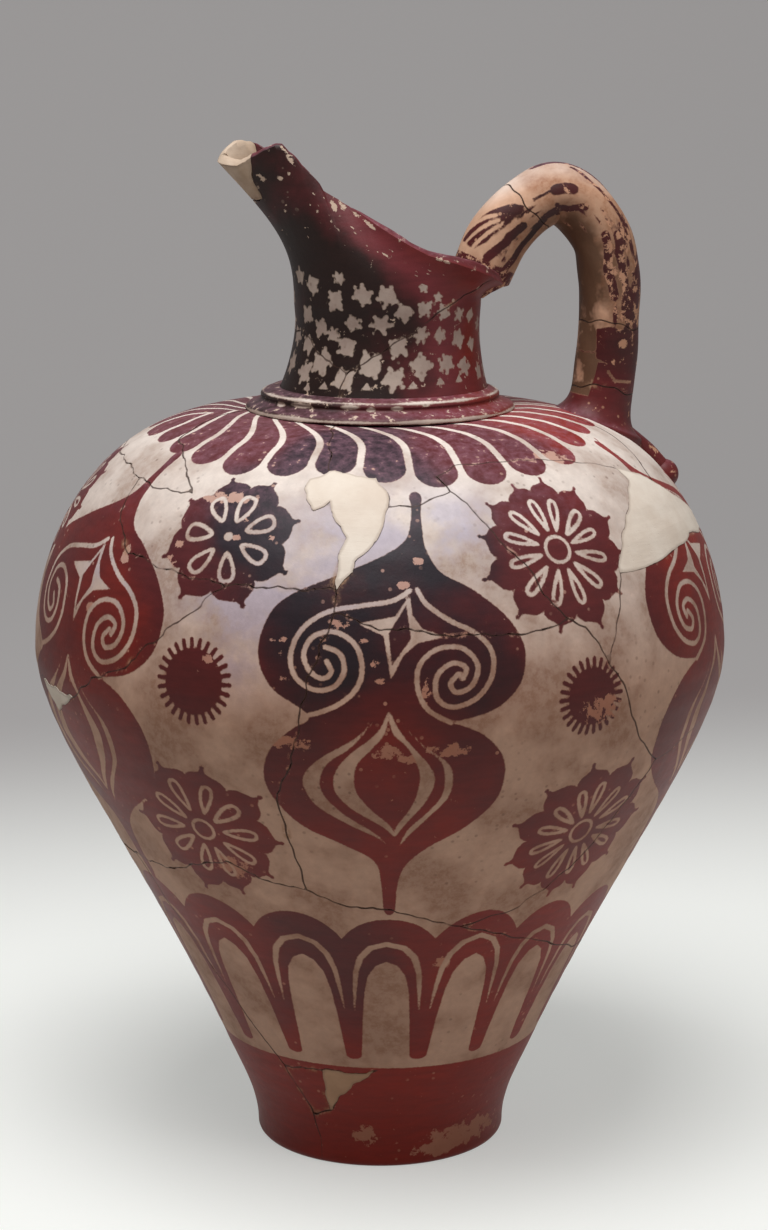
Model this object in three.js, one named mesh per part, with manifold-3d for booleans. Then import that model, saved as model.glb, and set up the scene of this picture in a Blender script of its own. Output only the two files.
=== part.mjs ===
// Beaked clay jug with one bar handle from rim to shoulder, thrown in sections, painted and fired.
// It was broken and mended, so each sherd of its wall, each plaster fill and each length of its
// handle is a piece of its own, with a fine open joint to its neighbours.
// Millimetres, +Z up, origin at the centre of the foot's underside, beak towards -X, handle towards +X.
// Azimuth is in degrees from the front (-Y), growing towards the handle.
import * as THREE from 'three';
import { mergeVertices } from 'three/addons/utils/BufferGeometryUtils.js';
import Module from 'manifold-3d';

// Mended joints
const JOINT = 0.3;

// Body wall, from the foot up to the hole that takes the neck
const WALL = 6.5;
const FLOOR = 9;
const FOOT_RADIUS = 50;
const FOOT_BEVEL = 2.5;
const FOOT_EASE = 14;
const FLARE_RADIUS = 62;
const FLARE_HEIGHT = 40;
const FLARE_LEAN = 0.43;
const FLARE_EASE = 12;
const BELLY_RADIUS = 136.5;
const BELLY_RISE = 163.5;
const BELLY_LOWER_EASE = 84;
const BELLY_UPPER_EASE = 32;
const SHOULDER_RISE = 92.5;
const SHOULDER_LOWER_EASE = 40;
const SHOULDER_UPPER_EASE = 56;

// Neck and its moulding
const NECK_WALL = 5.5;
const NECK_FOOT_RADIUS = 44;
const NECK_WAIST_RADIUS = 35.9;
const NECK_WAIST_RISE = 35;
const NECK_SPRING_RADIUS = 36.4;
const NECK_SPRING_RISE = 7;
const NECK_LEAN = 3;
const NECK_TAPER = 0.2;
const MOULDING_HEIGHT = 9;
const MOULDING_LOWER_REACH = 8.5;
const MOULDING_UPPER_REACH = 2.6;
const RIDGE_ROUND = 1.2;
const SHOULDER_LEDGE = 2.5;

// Rim and beak, reaches counted from the neck's axis, rises from where the beak springs from the neck
const LIP = 4.5;
const LIP_CROWN = 1;
const RIM_BACK_REACH = 45.5;
const RIM_BACK_RISE = 6;
const BEAK_REACH = 66;
const BEAK_TIP_RISE = 53;
const BEAK_TIP_DIP = 4;
const BEAK_STRAIGHT = 0.42;
const BEAK_BEND = 0.3;
const TIP_FILL_LENGTH = 11;
const TIP_BREAK_LEAN = 17;
// The rim's way from its back round each side to the beak's tip: reach, half width, rise
const RIM_FLANK = [
  [31, 30, 10],
  [2, 35, 21.5],
  [-19.5, 22.5, 37],
  [-39, 15, 57],
  [-54, 10.5, 56],
];

// Handle, its tail on the shoulder and the pellet that ends the tail
const HANDLE_THICKNESS = 24;
const HANDLE_DEPTH = 25;
const HANDLE_SEAT_REACH = 36.5;
const HANDLE_SEAT_DEPTH = 4;
const HANDLE_ROOT_REACH = 86;
const HANDLE_ROOT_DEPTH = 20;
const ROOT_SPREAD = 8;
const ROOT_SPREAD_FROM = 0.86;
const TAIL_WIDTH = 17;
const TAIL_END_WIDTH = 8;
const TAIL_THICKNESS = 9;
const TAIL_TOP_DROP = 7;
const TAIL_MIDDLE_PLACE = 81;
const PELLET_RADIUS = 6;
const PELLET_PLACE = 78.2;
// The handle's centre line from the rim over to the shoulder: reach, rise over the rim's back
const HANDLE_BENDS = [
  [47.9, 19.8],
  [60.7, 31],
  [69, 34.7],
  [78.4, 30.7],
  [87.9, 17.9],
  [90.9, 6],
  [92, -18],
];

// Fineness of the round surfaces
const WALL_SIDES = 48;
const WALL_STEPS = 16;
const NECK_SIDES = 32;
const NECK_STEPS = 5;
const HANDLE_SIDES = 14;
const HANDLE_STEP = 7;

// Break points of the body wall: azimuth, and per cent of the way up the wall from foot to neck hole
const BODY_BREAKS = {
  // round the neck hole
  n1: [-100, 100], n2: [-32, 100], n3: [80, 100], n4: [132, 100], n5: [-130, 100],
  // left shoulder, with the wedge that runs round to the back
  a1: [-70, 88], a2: [-59.5, 85.7],
  b1: [-50, 81.4], b2: [-60, 81.3], b3: [-68, 82], b4: [-91, 83.5], b5: [-118, 84], b6: [-122, 89],
  // from the left ornament across to the foot of the front fill
  c1: [-66, 77.8], c2: [-59, 74.2], c3: [-50, 73.1], c4: [-42, 72.5], c5: [-36, 72.2], c6: [-25, 72.2],
  c7: [-17, 72.3],
  // under the left ornament, with the small left fill
  d1: [-40, 69.6], d2: [-46, 66.6], e1: [-53, 62.7], e2: [-61, 60.6], e3: [-68, 57.9], e4: [-76, 55.4],
  e5: [-82, 58], x1: [-95, 58.9], x2: [-108, 70], y1: [-84, 44.3], y2: [-80, 51],
  // along the foot of the belly, left to right
  f1: [-72, 38], f2: [-57, 38.2], f3: [-48, 40.1], f4: [-40, 41.3], f5: [-33.5, 39.7], f6: [-24.6, 38.5],
  f7: [-18, 36.8], f8: [-7, 35.9], f9: [0, 34.5], f10: [8.2, 33.2], f11: [18.7, 31.3], f12: [36, 28.2],
  f13: [60, 24.6], f14: [78, 24.3],
  // left of the middle ornament
  g1: [-17, 70], g2: [-21, 63], g3: [-23, 56.3], g4: [-27, 50.4], g5: [-25.5, 44.5],
  // across the middle ornament, then down its right
  h1: [-10, 68.6], h2: [0.3, 67.9], h3: [8, 67.5], h4: [16, 67.7], h5: [21.3, 68.3], i1: [24, 67.3],
  i2: [26.3, 65.6], i3: [27.8, 63.6], k1: [30.4, 61.4], k2: [32, 59.3], k3: [34.5, 56.3], k4: [38.6, 53.5],
  k5: [44, 51.3], m1: [39, 46.2], m2: [34, 40.8], m3: [28, 37.6], m4: [20.8, 34.8],
  // round the front fill
  p1: [-21, 85.7], p2: [-14.5, 85.3], p3: [-10.5, 84.7], p4: [-8.8, 82.9], p5: [-8.5, 81.1],
  p6: [-10, 77.9], p7: [-13.5, 75.3], p8: [-17, 74.3], p9: [-16.1, 77.5], p10: [-18.3, 79.9],
  p11: [-19.7, 81.6], p12: [-22.2, 80.9], p13: [-24.6, 82], p14: [-25.4, 83.4], p15: [-24.7, 84.6],
  // from the front fill to the right, and round the right rosette
  q1: [-2.2, 81.4], q2: [4.5, 82.9], q3: [2.5, 84.9], o1: [9.5, 78.8], o2: [12.6, 76.2], o3: [15.6, 73.7],
  o4: [16.8, 71.6], r1: [7.7, 86.5], r2: [19.6, 86.8], r3: [36.4, 85.4], r4: [50.3, 83], j1: [31.8, 69],
  j2: [29.7, 66.2],
  // round the right fill
  s1: [54.2, 82.3], s2: [60.5, 80.4], s3: [67.2, 77.9], s4: [79, 74.4], s5: [76, 72.7], s6: [62.6, 73.6],
  s7: [51.2, 73], s8: [44, 72.3], s9: [39.2, 72.1], s10: [33.7, 72.1], s11: [37.4, 75.5], s12: [39.9, 77],
  s13: [44.3, 78.8], s14: [50.2, 81.4],
  // round the handle's root, and down the right side
  v1: [70, 86.5], v2: [100, 73.6], v3: [128, 75.5], v4: [130, 86.5], l1: [48.7, 51.7], l2: [52.5, 52.7],
  l3: [59.8, 53.5], l4: [75, 54.2], l5: [92, 55], z1: [88, 58.9], z2: [96, 65.8], w1: [90, 32],
  w2: [86, 44.3],
  // down the front left of the foot, with the chip and the fill beside it
  t1: [-66, 28.3], t2: [-56, 18], t3: [-49.3, 13.3], t4: [-46.6, 11.7], t5: [-42.5, 8.1], t6: [-40, 5.5],
  t7: [-38.9, 4.1], t8: [-35, 0], u1: [-31, 12.2], u2: [-11.7, 12.3], u3: [-20.3, 10.3], u4: [-26.1, 8.1],
  u5: [-30.6, 6.1],
  // round the back
  A1: [-95, 37.6], A2: [-120, 36.6], A3: [-128, 22.8], A4: [-135, 9.3], A5: [-140, 0],
  B1: [84, 16.8], B2: [76, 7.8], B3: [82, 0],
  C1: [115, 27.4], C2: [165, 31.4], C3: [160, 19.8], C4: [172, 7.8], C5: [168, 0],
  D1: [200, 33.9], D2: [165, 44.3], D3: [172, 58.9], D4: [160, 76.8], D5: [200, 78.1],
};

// Each body sherd or fill, as the ring of break points that bounds it; "open" is the open neck hole
const BODY_SHERDS = {
  front_left_sherd: 'n1 a1 a2 b1 b2 b3 c1 c2 c3 c4 c5 c6 c7 p8 p9 p10 p11 p12 p13 p14 p15 p1 n2 open',
  left_wedge_sherd: 'n1 a1 a2 b1 b2 b3 b4 b5 b6 n5 open',
  left_ornament_sherd: 'b3 c1 c2 c3 c4 c5 d1 d2 e1 e2 e3 e5 x1 x2 b5 b4',
  left_belly_sherd: 'c5 c6 c7 g1 g2 g3 g4 g5 f6 f5 f4 f3 f2 f1 y1 y2 e4 e3 e2 e1 d2 d1',
  middle_ornament_sherd: 'g1 h1 h2 h3 h4 h5 i1 i2 i3 k1 k2 k3 k4 k5 m1 m2 m3 m4 f10 f9 f8 f7 f6 '
    + 'g5 g4 g3 g2',
  front_top_sherd: 'c7 p7 p6 p5 q1 q2 o1 o2 o3 o4 h5 h4 h3 h2 h1 g1',
  front_shoulder_sherd: 'n2 p1 p2 p3 p4 p5 q1 q2 q3 r1 r2 r3 r4 s1 s2 v1 n3 open',
  right_rosette_sherd: 'q3 r1 r2 r3 r4 s14 s13 s12 s11 s10 j1 j2 i3 i2 i1 h5 o4 o3 o2 o1 q2',
  handle_side_sherd: 'n3 v1 s2 s3 s4 v2 v3 v4 n4 open',
  right_ornament_sherd: 's10 s9 s8 s7 s6 s5 s4 v2 z2 z1 l5 l4 l3 l2 l1 k5 k4 k3 k2 k1 i3 j2 j1',
  right_belly_sherd: 'k5 l1 l2 l3 l4 l5 w2 w1 f14 f13 f12 f11 f10 m4 m3 m2 m1',
  foot_front_sherd: 'f1 f2 f3 f4 f5 f6 f7 f8 f9 f10 f11 f12 f13 f14 B1 B2 B3 C5 A5 '
    + 't8 t7 t6 u5 u4 u3 u2 u1 t4 t3 t2 t1',
  foot_chip_sherd: 't4 u1 u5 t6 t5',
  foot_left_sherd: 'f1 t1 t2 t3 t4 t5 t6 t7 t8 A5 A4 A3 A2 A1',
  foot_back_left_sherd: 'A2 A3 A4 A5 C5 C4 C3 C2 D1',
  foot_back_right_sherd: 'C2 C3 C4 C5 B3 B2 B1 f14 C1',
  back_left_sherd: 'A1 A2 D1 C2 D2 D3 D4 D5 b5 x2 x1 e5 e4 y2 y1 f1',
  back_right_sherd: 'f14 w1 w2 l5 z1 z2 v2 v3 D4 D3 D2 C2 C1',
  back_shoulder_sherd: 'n4 v4 v3 D4 D5 b5 b6 n5 open',
};
const BODY_FILLS = {
  front_fill: 'p1 p2 p3 p4 p5 p6 p7 c7 p8 p9 p10 p11 p12 p13 p14 p15',
  left_fill: 'e3 e4 e5',
  right_fill: 'r4 s1 s2 s3 s4 s5 s6 s7 s8 s9 s10 s11 s12 s13 s14',
  foot_fill: 'u1 u2 u3 u4 u5',
};

// Break points of the neck wall: azimuth, and rise, from 0 at the neck's foot over 1 where the beak
// springs to 2 at the rim
const NECK_BREAKS = {
  a1: [63, 2], a2: [36, 1.15], a3: [2, 0.8], a4: [-34, 0.5], a5: [-72, 0.8], a6: [-110, 0.75],
  a7: [-150, 0.7], a8: [165, 0.9], a9: [122, 1.1], a10: [118, 2],
  b1: [-34, 0], c1: [-150, 0], d1: [120, 0], d2: [118, 0.4],
};
const NECK_SHERDS = {
  neck_left_sherd: 'a4 a5 a6 a7 c1 below b1',
  neck_back_sherd: 'a7 a8 a9 d2 d1 below c1',
  neck_right_sherd: 'a1 a2 a3 a4 b1 below d1 d2 a9 a10 open',
};

// Where the handle is broken, as shares of its run from rim to shoulder
const HANDLE_BREAKS = [0, 0.24, 0.685, 0.845, 1];
const HANDLE_NAMES = ['handle_rim_arm', 'handle_arch', 'handle_shank', 'handle_root'];

const wasm = await Module();
wasm.setup();

const vec = (x, y, z) => new THREE.Vector3(x, y, z);
const flat = (radius, height) => new THREE.Vector2(radius, height);
const UP = vec(0, 0, 1);

// A closed three.js geometry as a solid that can be joined and cut
function solidOf(geometry) {
  geometry.deleteAttribute('normal');
  geometry.deleteAttribute('uv');
  const merged = mergeVertices(geometry);
  const corners = merged.index.array;
  const faces = [];
  for (let i = 0; i < corners.length; i += 3) {
    const [a, b, c] = [corners[i], corners[i + 1], corners[i + 2]];
    if (a !== b && b !== c && c !== a) faces.push(a, b, c);
  }
  const vertProperties = merged.attributes.position.array;
  const triVerts = Uint32Array.from(faces);
  return new wasm.Manifold(new wasm.Mesh({ numProp: 3, vertProperties, triVerts }));
}

// A geometry from corner points and the triangles between them
function facetGeometry(points, faces) {
  const geometry = new THREE.BufferGeometry().setFromPoints(points);
  geometry.setIndex(faces);
  return geometry;
}

// A skin over rings of equal count; a looped row of rings closes on itself, any other row is capped
function ringSolid(rings, looped) {
  const count = rings[0].length;
  const faces = [];
  const spans = looped ? rings.length : rings.length - 1;
  for (let i = 0; i < spans; i += 1) {
    const here = i * count;
    const next = ((i + 1) % rings.length) * count;
    for (let k = 0; k < count; k += 1) {
      const side = (k + 1) % count;
      faces.push(here + k, here + side, next + side, here + k, next + side, next + k);
    }
  }
  if (!looped) {
    const last = (rings.length - 1) * count;
    for (let k = 1; k < count - 1; k += 1) {
      faces.push(0, k + 1, k, last, last + k, last + k + 1);
    }
  }
  return solidOf(facetGeometry(rings.flat(), faces));
}

// A turned solid from its half section, with the axis stood upright
function turnedSolid(section, sides) {
  return solidOf(new THREE.LatheGeometry(section, sides).rotateX(Math.PI / 2));
}

// Body wall: the half section's outer line runs up from the foot to the neck hole
const bellyHeight = FLARE_HEIGHT + BELLY_RISE;
const shoulderTop = bellyHeight + SHOULDER_RISE;
const neckHole = NECK_FOOT_RADIUS + JOINT;
const mouldingRadius = NECK_FOOT_RADIUS + MOULDING_LOWER_REACH;
const shoulderRadius = mouldingRadius + SHOULDER_LEDGE;

function wallRun() {
  const lean = flat(FLARE_LEAN, 1).normalize();
  const foot = flat(FOOT_RADIUS, FOOT_BEVEL);
  const flare = flat(FLARE_RADIUS, FLARE_HEIGHT);
  const belly = flat(BELLY_RADIUS, bellyHeight);
  const bellyBelow = flat(BELLY_RADIUS, bellyHeight - BELLY_UPPER_EASE);
  const shoulder = flat(shoulderRadius, shoulderTop);
  const flareBelow = flare.clone().addScaledVector(lean, -FLARE_EASE);
  const flareAbove = flare.clone().addScaledVector(lean, BELLY_LOWER_EASE);
  const run = new THREE.CurvePath();
  run.add(new THREE.CubicBezierCurve(foot, flat(FOOT_RADIUS, FOOT_BEVEL + FOOT_EASE), flareBelow, flare));
  run.add(new THREE.CubicBezierCurve(flare, flareAbove, bellyBelow, belly));
  run.add(new THREE.CubicBezierCurve(belly, flat(BELLY_RADIUS, bellyHeight + SHOULDER_LOWER_EASE),
    flat(shoulderRadius + SHOULDER_UPPER_EASE, shoulderTop), shoulder));
  run.add(new THREE.LineCurve(shoulder, flat(neckHole, shoulderTop)));
  return run;
}
const bodyRun = wallRun();

// A point of the wall's half section, moved outwards, square to the wall
function sectionPoint(share, outwards) {
  const tangent = bodyRun.getTangent(share);
  return bodyRun.getPoint(share).add(flat(tangent.y, -tangent.x).multiplyScalar(outwards));
}

// A point of the body's outer surface
function onBody([azimuth, percent]) {
  const place = bodyRun.getPoint(percent / 100);
  return vec(place.x, 0, place.y).applyAxisAngle(UP, THREE.MathUtils.degToRad(azimuth - 90));
}

const wallShares = Array.from({ length: WALL_STEPS + 1 }, (_, i) => i / WALL_STEPS);

function bodyWall() {
  const outer = wallShares.map((share) => sectionPoint(share, 0));
  const inner = wallShares.map((share) => sectionPoint(share, -WALL)).filter((p) => p.y > FLOOR);
  const section = [flat(0, 0), flat(FOOT_RADIUS - FOOT_BEVEL, 0), ...outer, ...inner.reverse()];
  const floorRadius = inner[inner.length - 1].x;
  return turnedSolid([...section, flat(floorRadius, FLOOR), flat(0, FLOOR)], WALL_SIDES);
}

// The body as a full solid, one joint larger than it is: what stands on the body is trimmed with it
function bodyTrimmer() {
  const outer = wallShares.map((share) => sectionPoint(share, JOINT));
  const section = [flat(0, 0), flat(FOOT_RADIUS, 0), ...outer, flat(0, shoulderTop + JOINT)];
  return turnedSolid(section, WALL_SIDES);
}

// Sherds: each is the wall's part inside a many-sided wedge that fans out from a focus on the axis
const WEDGE_NEAR = 0.5;
const WEDGE_FAR = 10;

// The wedge through an outline's points, with every side moved inwards by an inset
function wedgeSolid(outline, focus, inset) {
  const rays = outline.map((point) => point.clone().sub(focus));
  const middle = vec(0, 0, 0);
  rays.forEach((ray) => middle.add(ray.clone().normalize()));
  const turn = new THREE.Quaternion().setFromUnitVectors(middle.normalize(), UP);
  const spread = (ray) => {
    const way = ray.clone().normalize().applyQuaternion(turn);
    return flat(way.x / (1 + way.z), way.y / (1 + way.z));
  };
  if (THREE.ShapeUtils.isClockWise(rays.map(spread))) rays.reverse();
  const count = rays.length;
  const sides = rays.map((ray, k) => ray.clone().cross(rays[(k + 1) % count]).normalize());
  const shifts = sides.map((side, k) => {
    const before = sides[(k + count - 1) % count];
    return before.clone().add(side).multiplyScalar(inset / (1 + before.dot(side))).add(focus);
  });
  const ring = (reach) => rays.map((ray, k) => ray.clone().multiplyScalar(reach).add(shifts[k]));
  const faces = [];
  THREE.ShapeUtils.triangulateShape(rays.map(spread), []).forEach(([a, b, c]) => {
    faces.push(a, c, b, count + a, count + b, count + c);
  });
  for (let k = 0; k < count; k += 1) {
    const next = (k + 1) % count;
    faces.push(k, next, count + next, k, count + next, count + k);
  }
  return solidOf(facetGeometry([...ring(WEDGE_NEAR), ...ring(WEDGE_FAR)], faces));
}

const cutSherd = (wall, outline, focus) => wall.intersect(wedgeSolid(outline, focus, JOINT / 2));

// Neck: a waisted tube whose foot stands in the body's hole; above it the wall is drawn out to the rim
const neckFoot = shoulderTop - WALL;
const waistHeight = shoulderTop + NECK_WAIST_RISE;
const springHeight = waistHeight + NECK_SPRING_RISE;
const mouldingFoot = shoulderTop + JOINT;
const mouldingTop = mouldingFoot + MOULDING_HEIGHT;
const rimBackHeight = springHeight + RIM_BACK_RISE;
const rimBack = NECK_LEAN + RIM_BACK_REACH;

function neckProfile() {
  const seat = flat(NECK_FOOT_RADIUS, mouldingFoot);
  const waist = flat(NECK_WAIST_RADIUS, waistHeight);
  const taper = NECK_WAIST_RISE * NECK_TAPER;
  const run = new THREE.CurvePath();
  run.add(new THREE.LineCurve(flat(NECK_FOOT_RADIUS, neckFoot), seat));
  run.add(new THREE.CubicBezierCurve(seat, flat(NECK_FOOT_RADIUS - taper / 2, mouldingFoot + taper),
    flat(NECK_WAIST_RADIUS, waistHeight - 2 * taper), waist));
  run.add(new THREE.LineCurve(waist, flat(NECK_SPRING_RADIUS, springHeight)));
  return run;
}
const neckRun = neckProfile();

// The neck leans towards the handle, most of it low down
function leanAt(height) {
  const share = THREE.MathUtils.clamp((height - mouldingFoot) / (waistHeight - mouldingFoot), 0, 1);
  return NECK_LEAN * Math.sqrt(share);
}

// The rim's edge, once round from the handle side: wide at the back, drawn in to the narrow beak, whose
// tip dips at the front
function rimEdge() {
  const at = (reach, width, rise) => vec(NECK_LEAN + reach, width, springHeight + rise);
  const flank = (side) => RIM_FLANK.map(([reach, width, rise]) => at(reach, side * width, rise));
  const [back, front] = [flank(1), flank(-1).reverse()];
  back[back.length - 1].z += BEAK_TIP_DIP;
  front[0].z -= BEAK_TIP_DIP;
  const handleSide = at(RIM_BACK_REACH, 0, RIM_BACK_RISE);
  const points = [handleSide, ...back, at(-BEAK_REACH, 0, BEAK_TIP_RISE), ...front];
  return new THREE.CatmullRomCurve3(points, true, 'centripetal');
}
const rim = rimEdge();

// A point of the neck wall's outer side, or of its inner side when inset; swollen moves both sides apart
function neckPoint(azimuth, rise, inset, swollen) {
  const place = neckRun.getPoint(Math.min(rise, 1));
  const around = (radius) => vec(radius, 0, place.y)
    .applyAxisAngle(UP, THREE.MathUtils.degToRad(azimuth - 90))
    .add(vec(leanAt(place.y), 0, 0));
  const foot = around(place.x + swollen - inset * (NECK_WALL + 2 * swollen));
  if (rise <= 1) return foot;
  const share = THREE.MathUtils.euclideanModulo(azimuth - 90, 360) / 360;
  const edge = rim.getPointAt(share);
  const straight = vec(0, 0, BEAK_STRAIGHT * (edge.z - foot.z));
  const wallWay = edge.clone().sub(around(place.x)).sub(straight);
  const outwards = rim.getTangentAt(share).cross(wallWay).normalize();
  edge.addScaledVector(outwards, swollen - inset * (LIP + 2 * swollen));
  const bend = foot.clone().add(straight);
  const swing = bend.clone().lerp(edge, BEAK_BEND);
  return new THREE.CubicBezierCurve3(foot, bend, swing, edge).getPoint(rise - 1);
}

function neckRing(rise, inset, swollen) {
  return Array.from({ length: NECK_SIDES }, (_, k) => (
    neckPoint((k * 360) / NECK_SIDES, rise, inset, swollen)
  ));
}

function neckWall(swollen) {
  const rises = Array.from({ length: 2 * NECK_STEPS + 1 }, (_, i) => i / NECK_STEPS);
  const outer = rises.map((rise) => neckRing(rise, 0, swollen));
  const inner = rises.map((rise) => neckRing(rise, 1, swollen)).reverse();
  const crown = neckRing(2, 0.5, swollen);
  crown.forEach((point) => point.setZ(point.z + LIP_CROWN + swollen));
  return ringSolid([...outer, crown, ...inner], true);
}

// The neck's tube below the beak as a full solid, one joint larger than it is
function neckCore() {
  const rises = Array.from({ length: NECK_STEPS + 1 }, (_, i) => i / NECK_STEPS);
  return ringSolid(rises.map((rise) => neckRing(rise, 0, JOINT)), false);
}

// The moulding: a double ridge of clay laid round the foot of the neck
function mouldingSolid() {
  const at = (share) => mouldingFoot + share * MOULDING_HEIGHT;
  const upperRadius = NECK_FOOT_RADIUS + MOULDING_UPPER_REACH;
  const ridges = [
    flat(0, at(0)),
    flat(mouldingRadius - RIDGE_ROUND, at(0)),
    flat(mouldingRadius, at(0.2)),
    flat(mouldingRadius - RIDGE_ROUND, at(0.42)),
    flat(upperRadius, at(0.5)),
    flat(upperRadius - RIDGE_ROUND, at(0.6)),
    flat(upperRadius, at(0.8)),
    flat(NECK_FOOT_RADIUS, at(1)),
    flat(0, at(1)),
  ];
  return turnedSolid(ridges, WALL_SIDES).subtract(neckCore());
}

// Handle: a round bar bent from the rim up and over, then down to the shoulder, where it spreads
function handlePath() {
  const points = [
    vec(HANDLE_SEAT_REACH, 0, rimBackHeight - HANDLE_SEAT_DEPTH),
    ...HANDLE_BENDS.map(([reach, rise]) => vec(reach, 0, rimBackHeight + rise)),
    vec(HANDLE_ROOT_REACH, 0, shoulderTop - HANDLE_ROOT_DEPTH),
  ];
  return new THREE.CatmullRomCurve3(points, false, 'centripetal');
}
const handleRun = handlePath();

// A bar with an oval section that may change along its run, as rings square to the run
function barSolid(run, from, to, halfThickness, halfDepth) {
  const steps = Math.ceil(((to - from) * run.getLength()) / HANDLE_STEP);
  const rings = [];
  for (let i = 0; i <= steps; i += 1) {
    const share = from + ((to - from) * i) / steps;
    const along = run.getTangentAt(share);
    const depth = vec(0, 1, 0);
    const thickness = depth.clone().cross(along);
    const middle = run.getPointAt(share);
    rings.push(Array.from({ length: HANDLE_SIDES }, (_, k) => {
      const angle = (k * 2 * Math.PI) / HANDLE_SIDES;
      return middle.clone()
        .addScaledVector(thickness, halfThickness(share) * Math.cos(angle))
        .addScaledVector(depth, halfDepth(share) * Math.sin(angle));
    }));
  }
  return ringSolid(rings, false);
}

const spreadAt = (share) => ROOT_SPREAD * THREE.MathUtils.smoothstep(share, ROOT_SPREAD_FROM, 1);

function handlePiece(index) {
  const half = JOINT / 2 / handleRun.getLength();
  const from = HANDLE_BREAKS[index] + (index > 0 ? half : 0);
  const to = HANDLE_BREAKS[index + 1] - (index < HANDLE_NAMES.length - 1 ? half : 0);
  return barSolid(handleRun, from, to,
    (share) => HANDLE_THICKNESS / 2 + spreadAt(share), (share) => HANDLE_DEPTH / 2 + spreadAt(share));
}

// The space under the rim outside the neck, which the handle's foot leaves free
function underRimBox() {
  const block = new THREE.BoxGeometry(HANDLE_THICKNESS, 2 * HANDLE_DEPTH, 2 * HANDLE_THICKNESS);
  const reach = NECK_LEAN + NECK_SPRING_RADIUS - NECK_WALL + HANDLE_THICKNESS / 2;
  block.translate(reach, 0, rimBackHeight - HANDLE_THICKNESS);
  return solidOf(block);
}

// The tail runs down the shoulder from the handle's root and ends at the pellet
const pelletCentre = onBody([90, PELLET_PLACE]);

function tailSolid() {
  const top = vec(HANDLE_ROOT_REACH + HANDLE_THICKNESS / 3, 0, shoulderTop - TAIL_TOP_DROP);
  const way = [top, onBody([90, TAIL_MIDDLE_PLACE]), pelletCentre];
  const run = new THREE.CatmullRomCurve3(way, false, 'centripetal');
  const halfWidth = (share) => THREE.MathUtils.lerp(TAIL_WIDTH, TAIL_END_WIDTH, share) / 2;
  return barSolid(run, 0, 1, () => TAIL_THICKNESS / 2, halfWidth);
}

function pelletSolid(radius) {
  const ball = new THREE.SphereGeometry(radius, HANDLE_SIDES, HANDLE_SIDES / 2);
  ball.translate(pelletCentre.x, pelletCentre.y, pelletCentre.z);
  return solidOf(ball);
}

// Finishes
const finish = (color, roughness) => new THREE.MeshStandardMaterial({ color, roughness, metalness: 0 });
const paintedClay = finish(0xb99c8c, 0.55);
const footClay = finish(0x7a3a30, 0.6);
const neckClay = finish(0x4a2426, 0.5);
const handleClay = finish(0xa9805f, 0.6);
const plaster = finish(0xd9cbb2, 0.85);

const jug = new THREE.Group();

function addPiece(name, solid, material) {
  const { vertProperties, triVerts } = solid.getMesh();
  const geometry = new THREE.BufferGeometry();
  geometry.setAttribute('position', new THREE.BufferAttribute(vertProperties, 3));
  geometry.setIndex(new THREE.BufferAttribute(triVerts, 1));
  geometry.computeVertexNormals();
  const piece = new THREE.Mesh(geometry, material);
  piece.name = name;
  jug.add(piece);
}

// Body sherds and fills
const bodyFocus = vec(0, 0, bellyHeight - BELLY_UPPER_EASE / 2);
const body = bodyWall().subtract(neckCore());
const bodyOutline = (names) => names.split(' ').map((name) => (
  name === 'open' ? vec(0, 0, shoulderTop) : onBody(BODY_BREAKS[name])
));
Object.entries(BODY_SHERDS).forEach(([name, names]) => {
  const clay = name.startsWith('foot') ? footClay : paintedClay;
  addPiece(name, cutSherd(body, bodyOutline(names), bodyFocus), clay);
});
Object.entries(BODY_FILLS).forEach(([name, names]) => {
  addPiece(name, cutSherd(body, bodyOutline(names), bodyFocus), plaster);
});

// Neck sherds, the beak above them with its filled tip, and the moulding
const neckFocus = vec(NECK_LEAN / 2, 0, waistHeight);
const neckEnds = { open: vec(rimBack / 3, 0, rimBackHeight + BEAK_TIP_RISE), below: vec(0, 0, neckFoot) };
const neckOutline = (names) => names.split(' ').map((name) => (
  neckEnds[name] ?? neckPoint(...NECK_BREAKS[name], 0, 0)
));
const neck = neckWall(0);
let beak = neck;
Object.entries(NECK_SHERDS).forEach(([name, names]) => {
  const outline = neckOutline(names);
  addPiece(name, cutSherd(neck, outline, neckFocus), neckClay);
  beak = beak.subtract(wedgeSolid(outline, neckFocus, -JOINT / 2));
});

// The broken-off end of the beak, cut on a slant
function tipBox(shift) {
  const block = new THREE.BoxGeometry(BEAK_REACH, BEAK_REACH, BEAK_TIP_RISE);
  block.translate(-BEAK_REACH / 2 + shift, 0, 0);
  block.rotateY(THREE.MathUtils.degToRad(-TIP_BREAK_LEAN));
  block.translate(NECK_LEAN - BEAK_REACH + TIP_FILL_LENGTH, 0, springHeight + BEAK_TIP_RISE);
  return solidOf(block);
}
addPiece('beak_sherd', beak.subtract(tipBox(JOINT)), neckClay);
addPiece('beak_tip_fill', beak.intersect(tipBox(0)), plaster);
addPiece('neck_moulding', mouldingSolid(), neckClay);

// Handle lengths, the tail and its pellet
const bodyTrim = bodyTrimmer();
const neckTrim = neckWall(JOINT);
HANDLE_NAMES.forEach((name, index) => {
  let piece = handlePiece(index);
  if (name === 'handle_rim_arm') piece = piece.subtract(neckTrim).subtract(underRimBox());
  if (name === 'handle_root') {
    piece = piece.add(tailSolid()).subtract(bodyTrim).subtract(pelletSolid(PELLET_RADIUS + JOINT));
  }
  addPiece(name, piece, handleClay);
});
addPiece('tail_pellet', pelletSolid(PELLET_RADIUS).subtract(bodyTrim), handleClay);

export default jug;
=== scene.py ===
import bpy
import numpy as np
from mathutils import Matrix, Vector, kdtree
from mathutils.geometry import delaunay_2d_cdt


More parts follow.
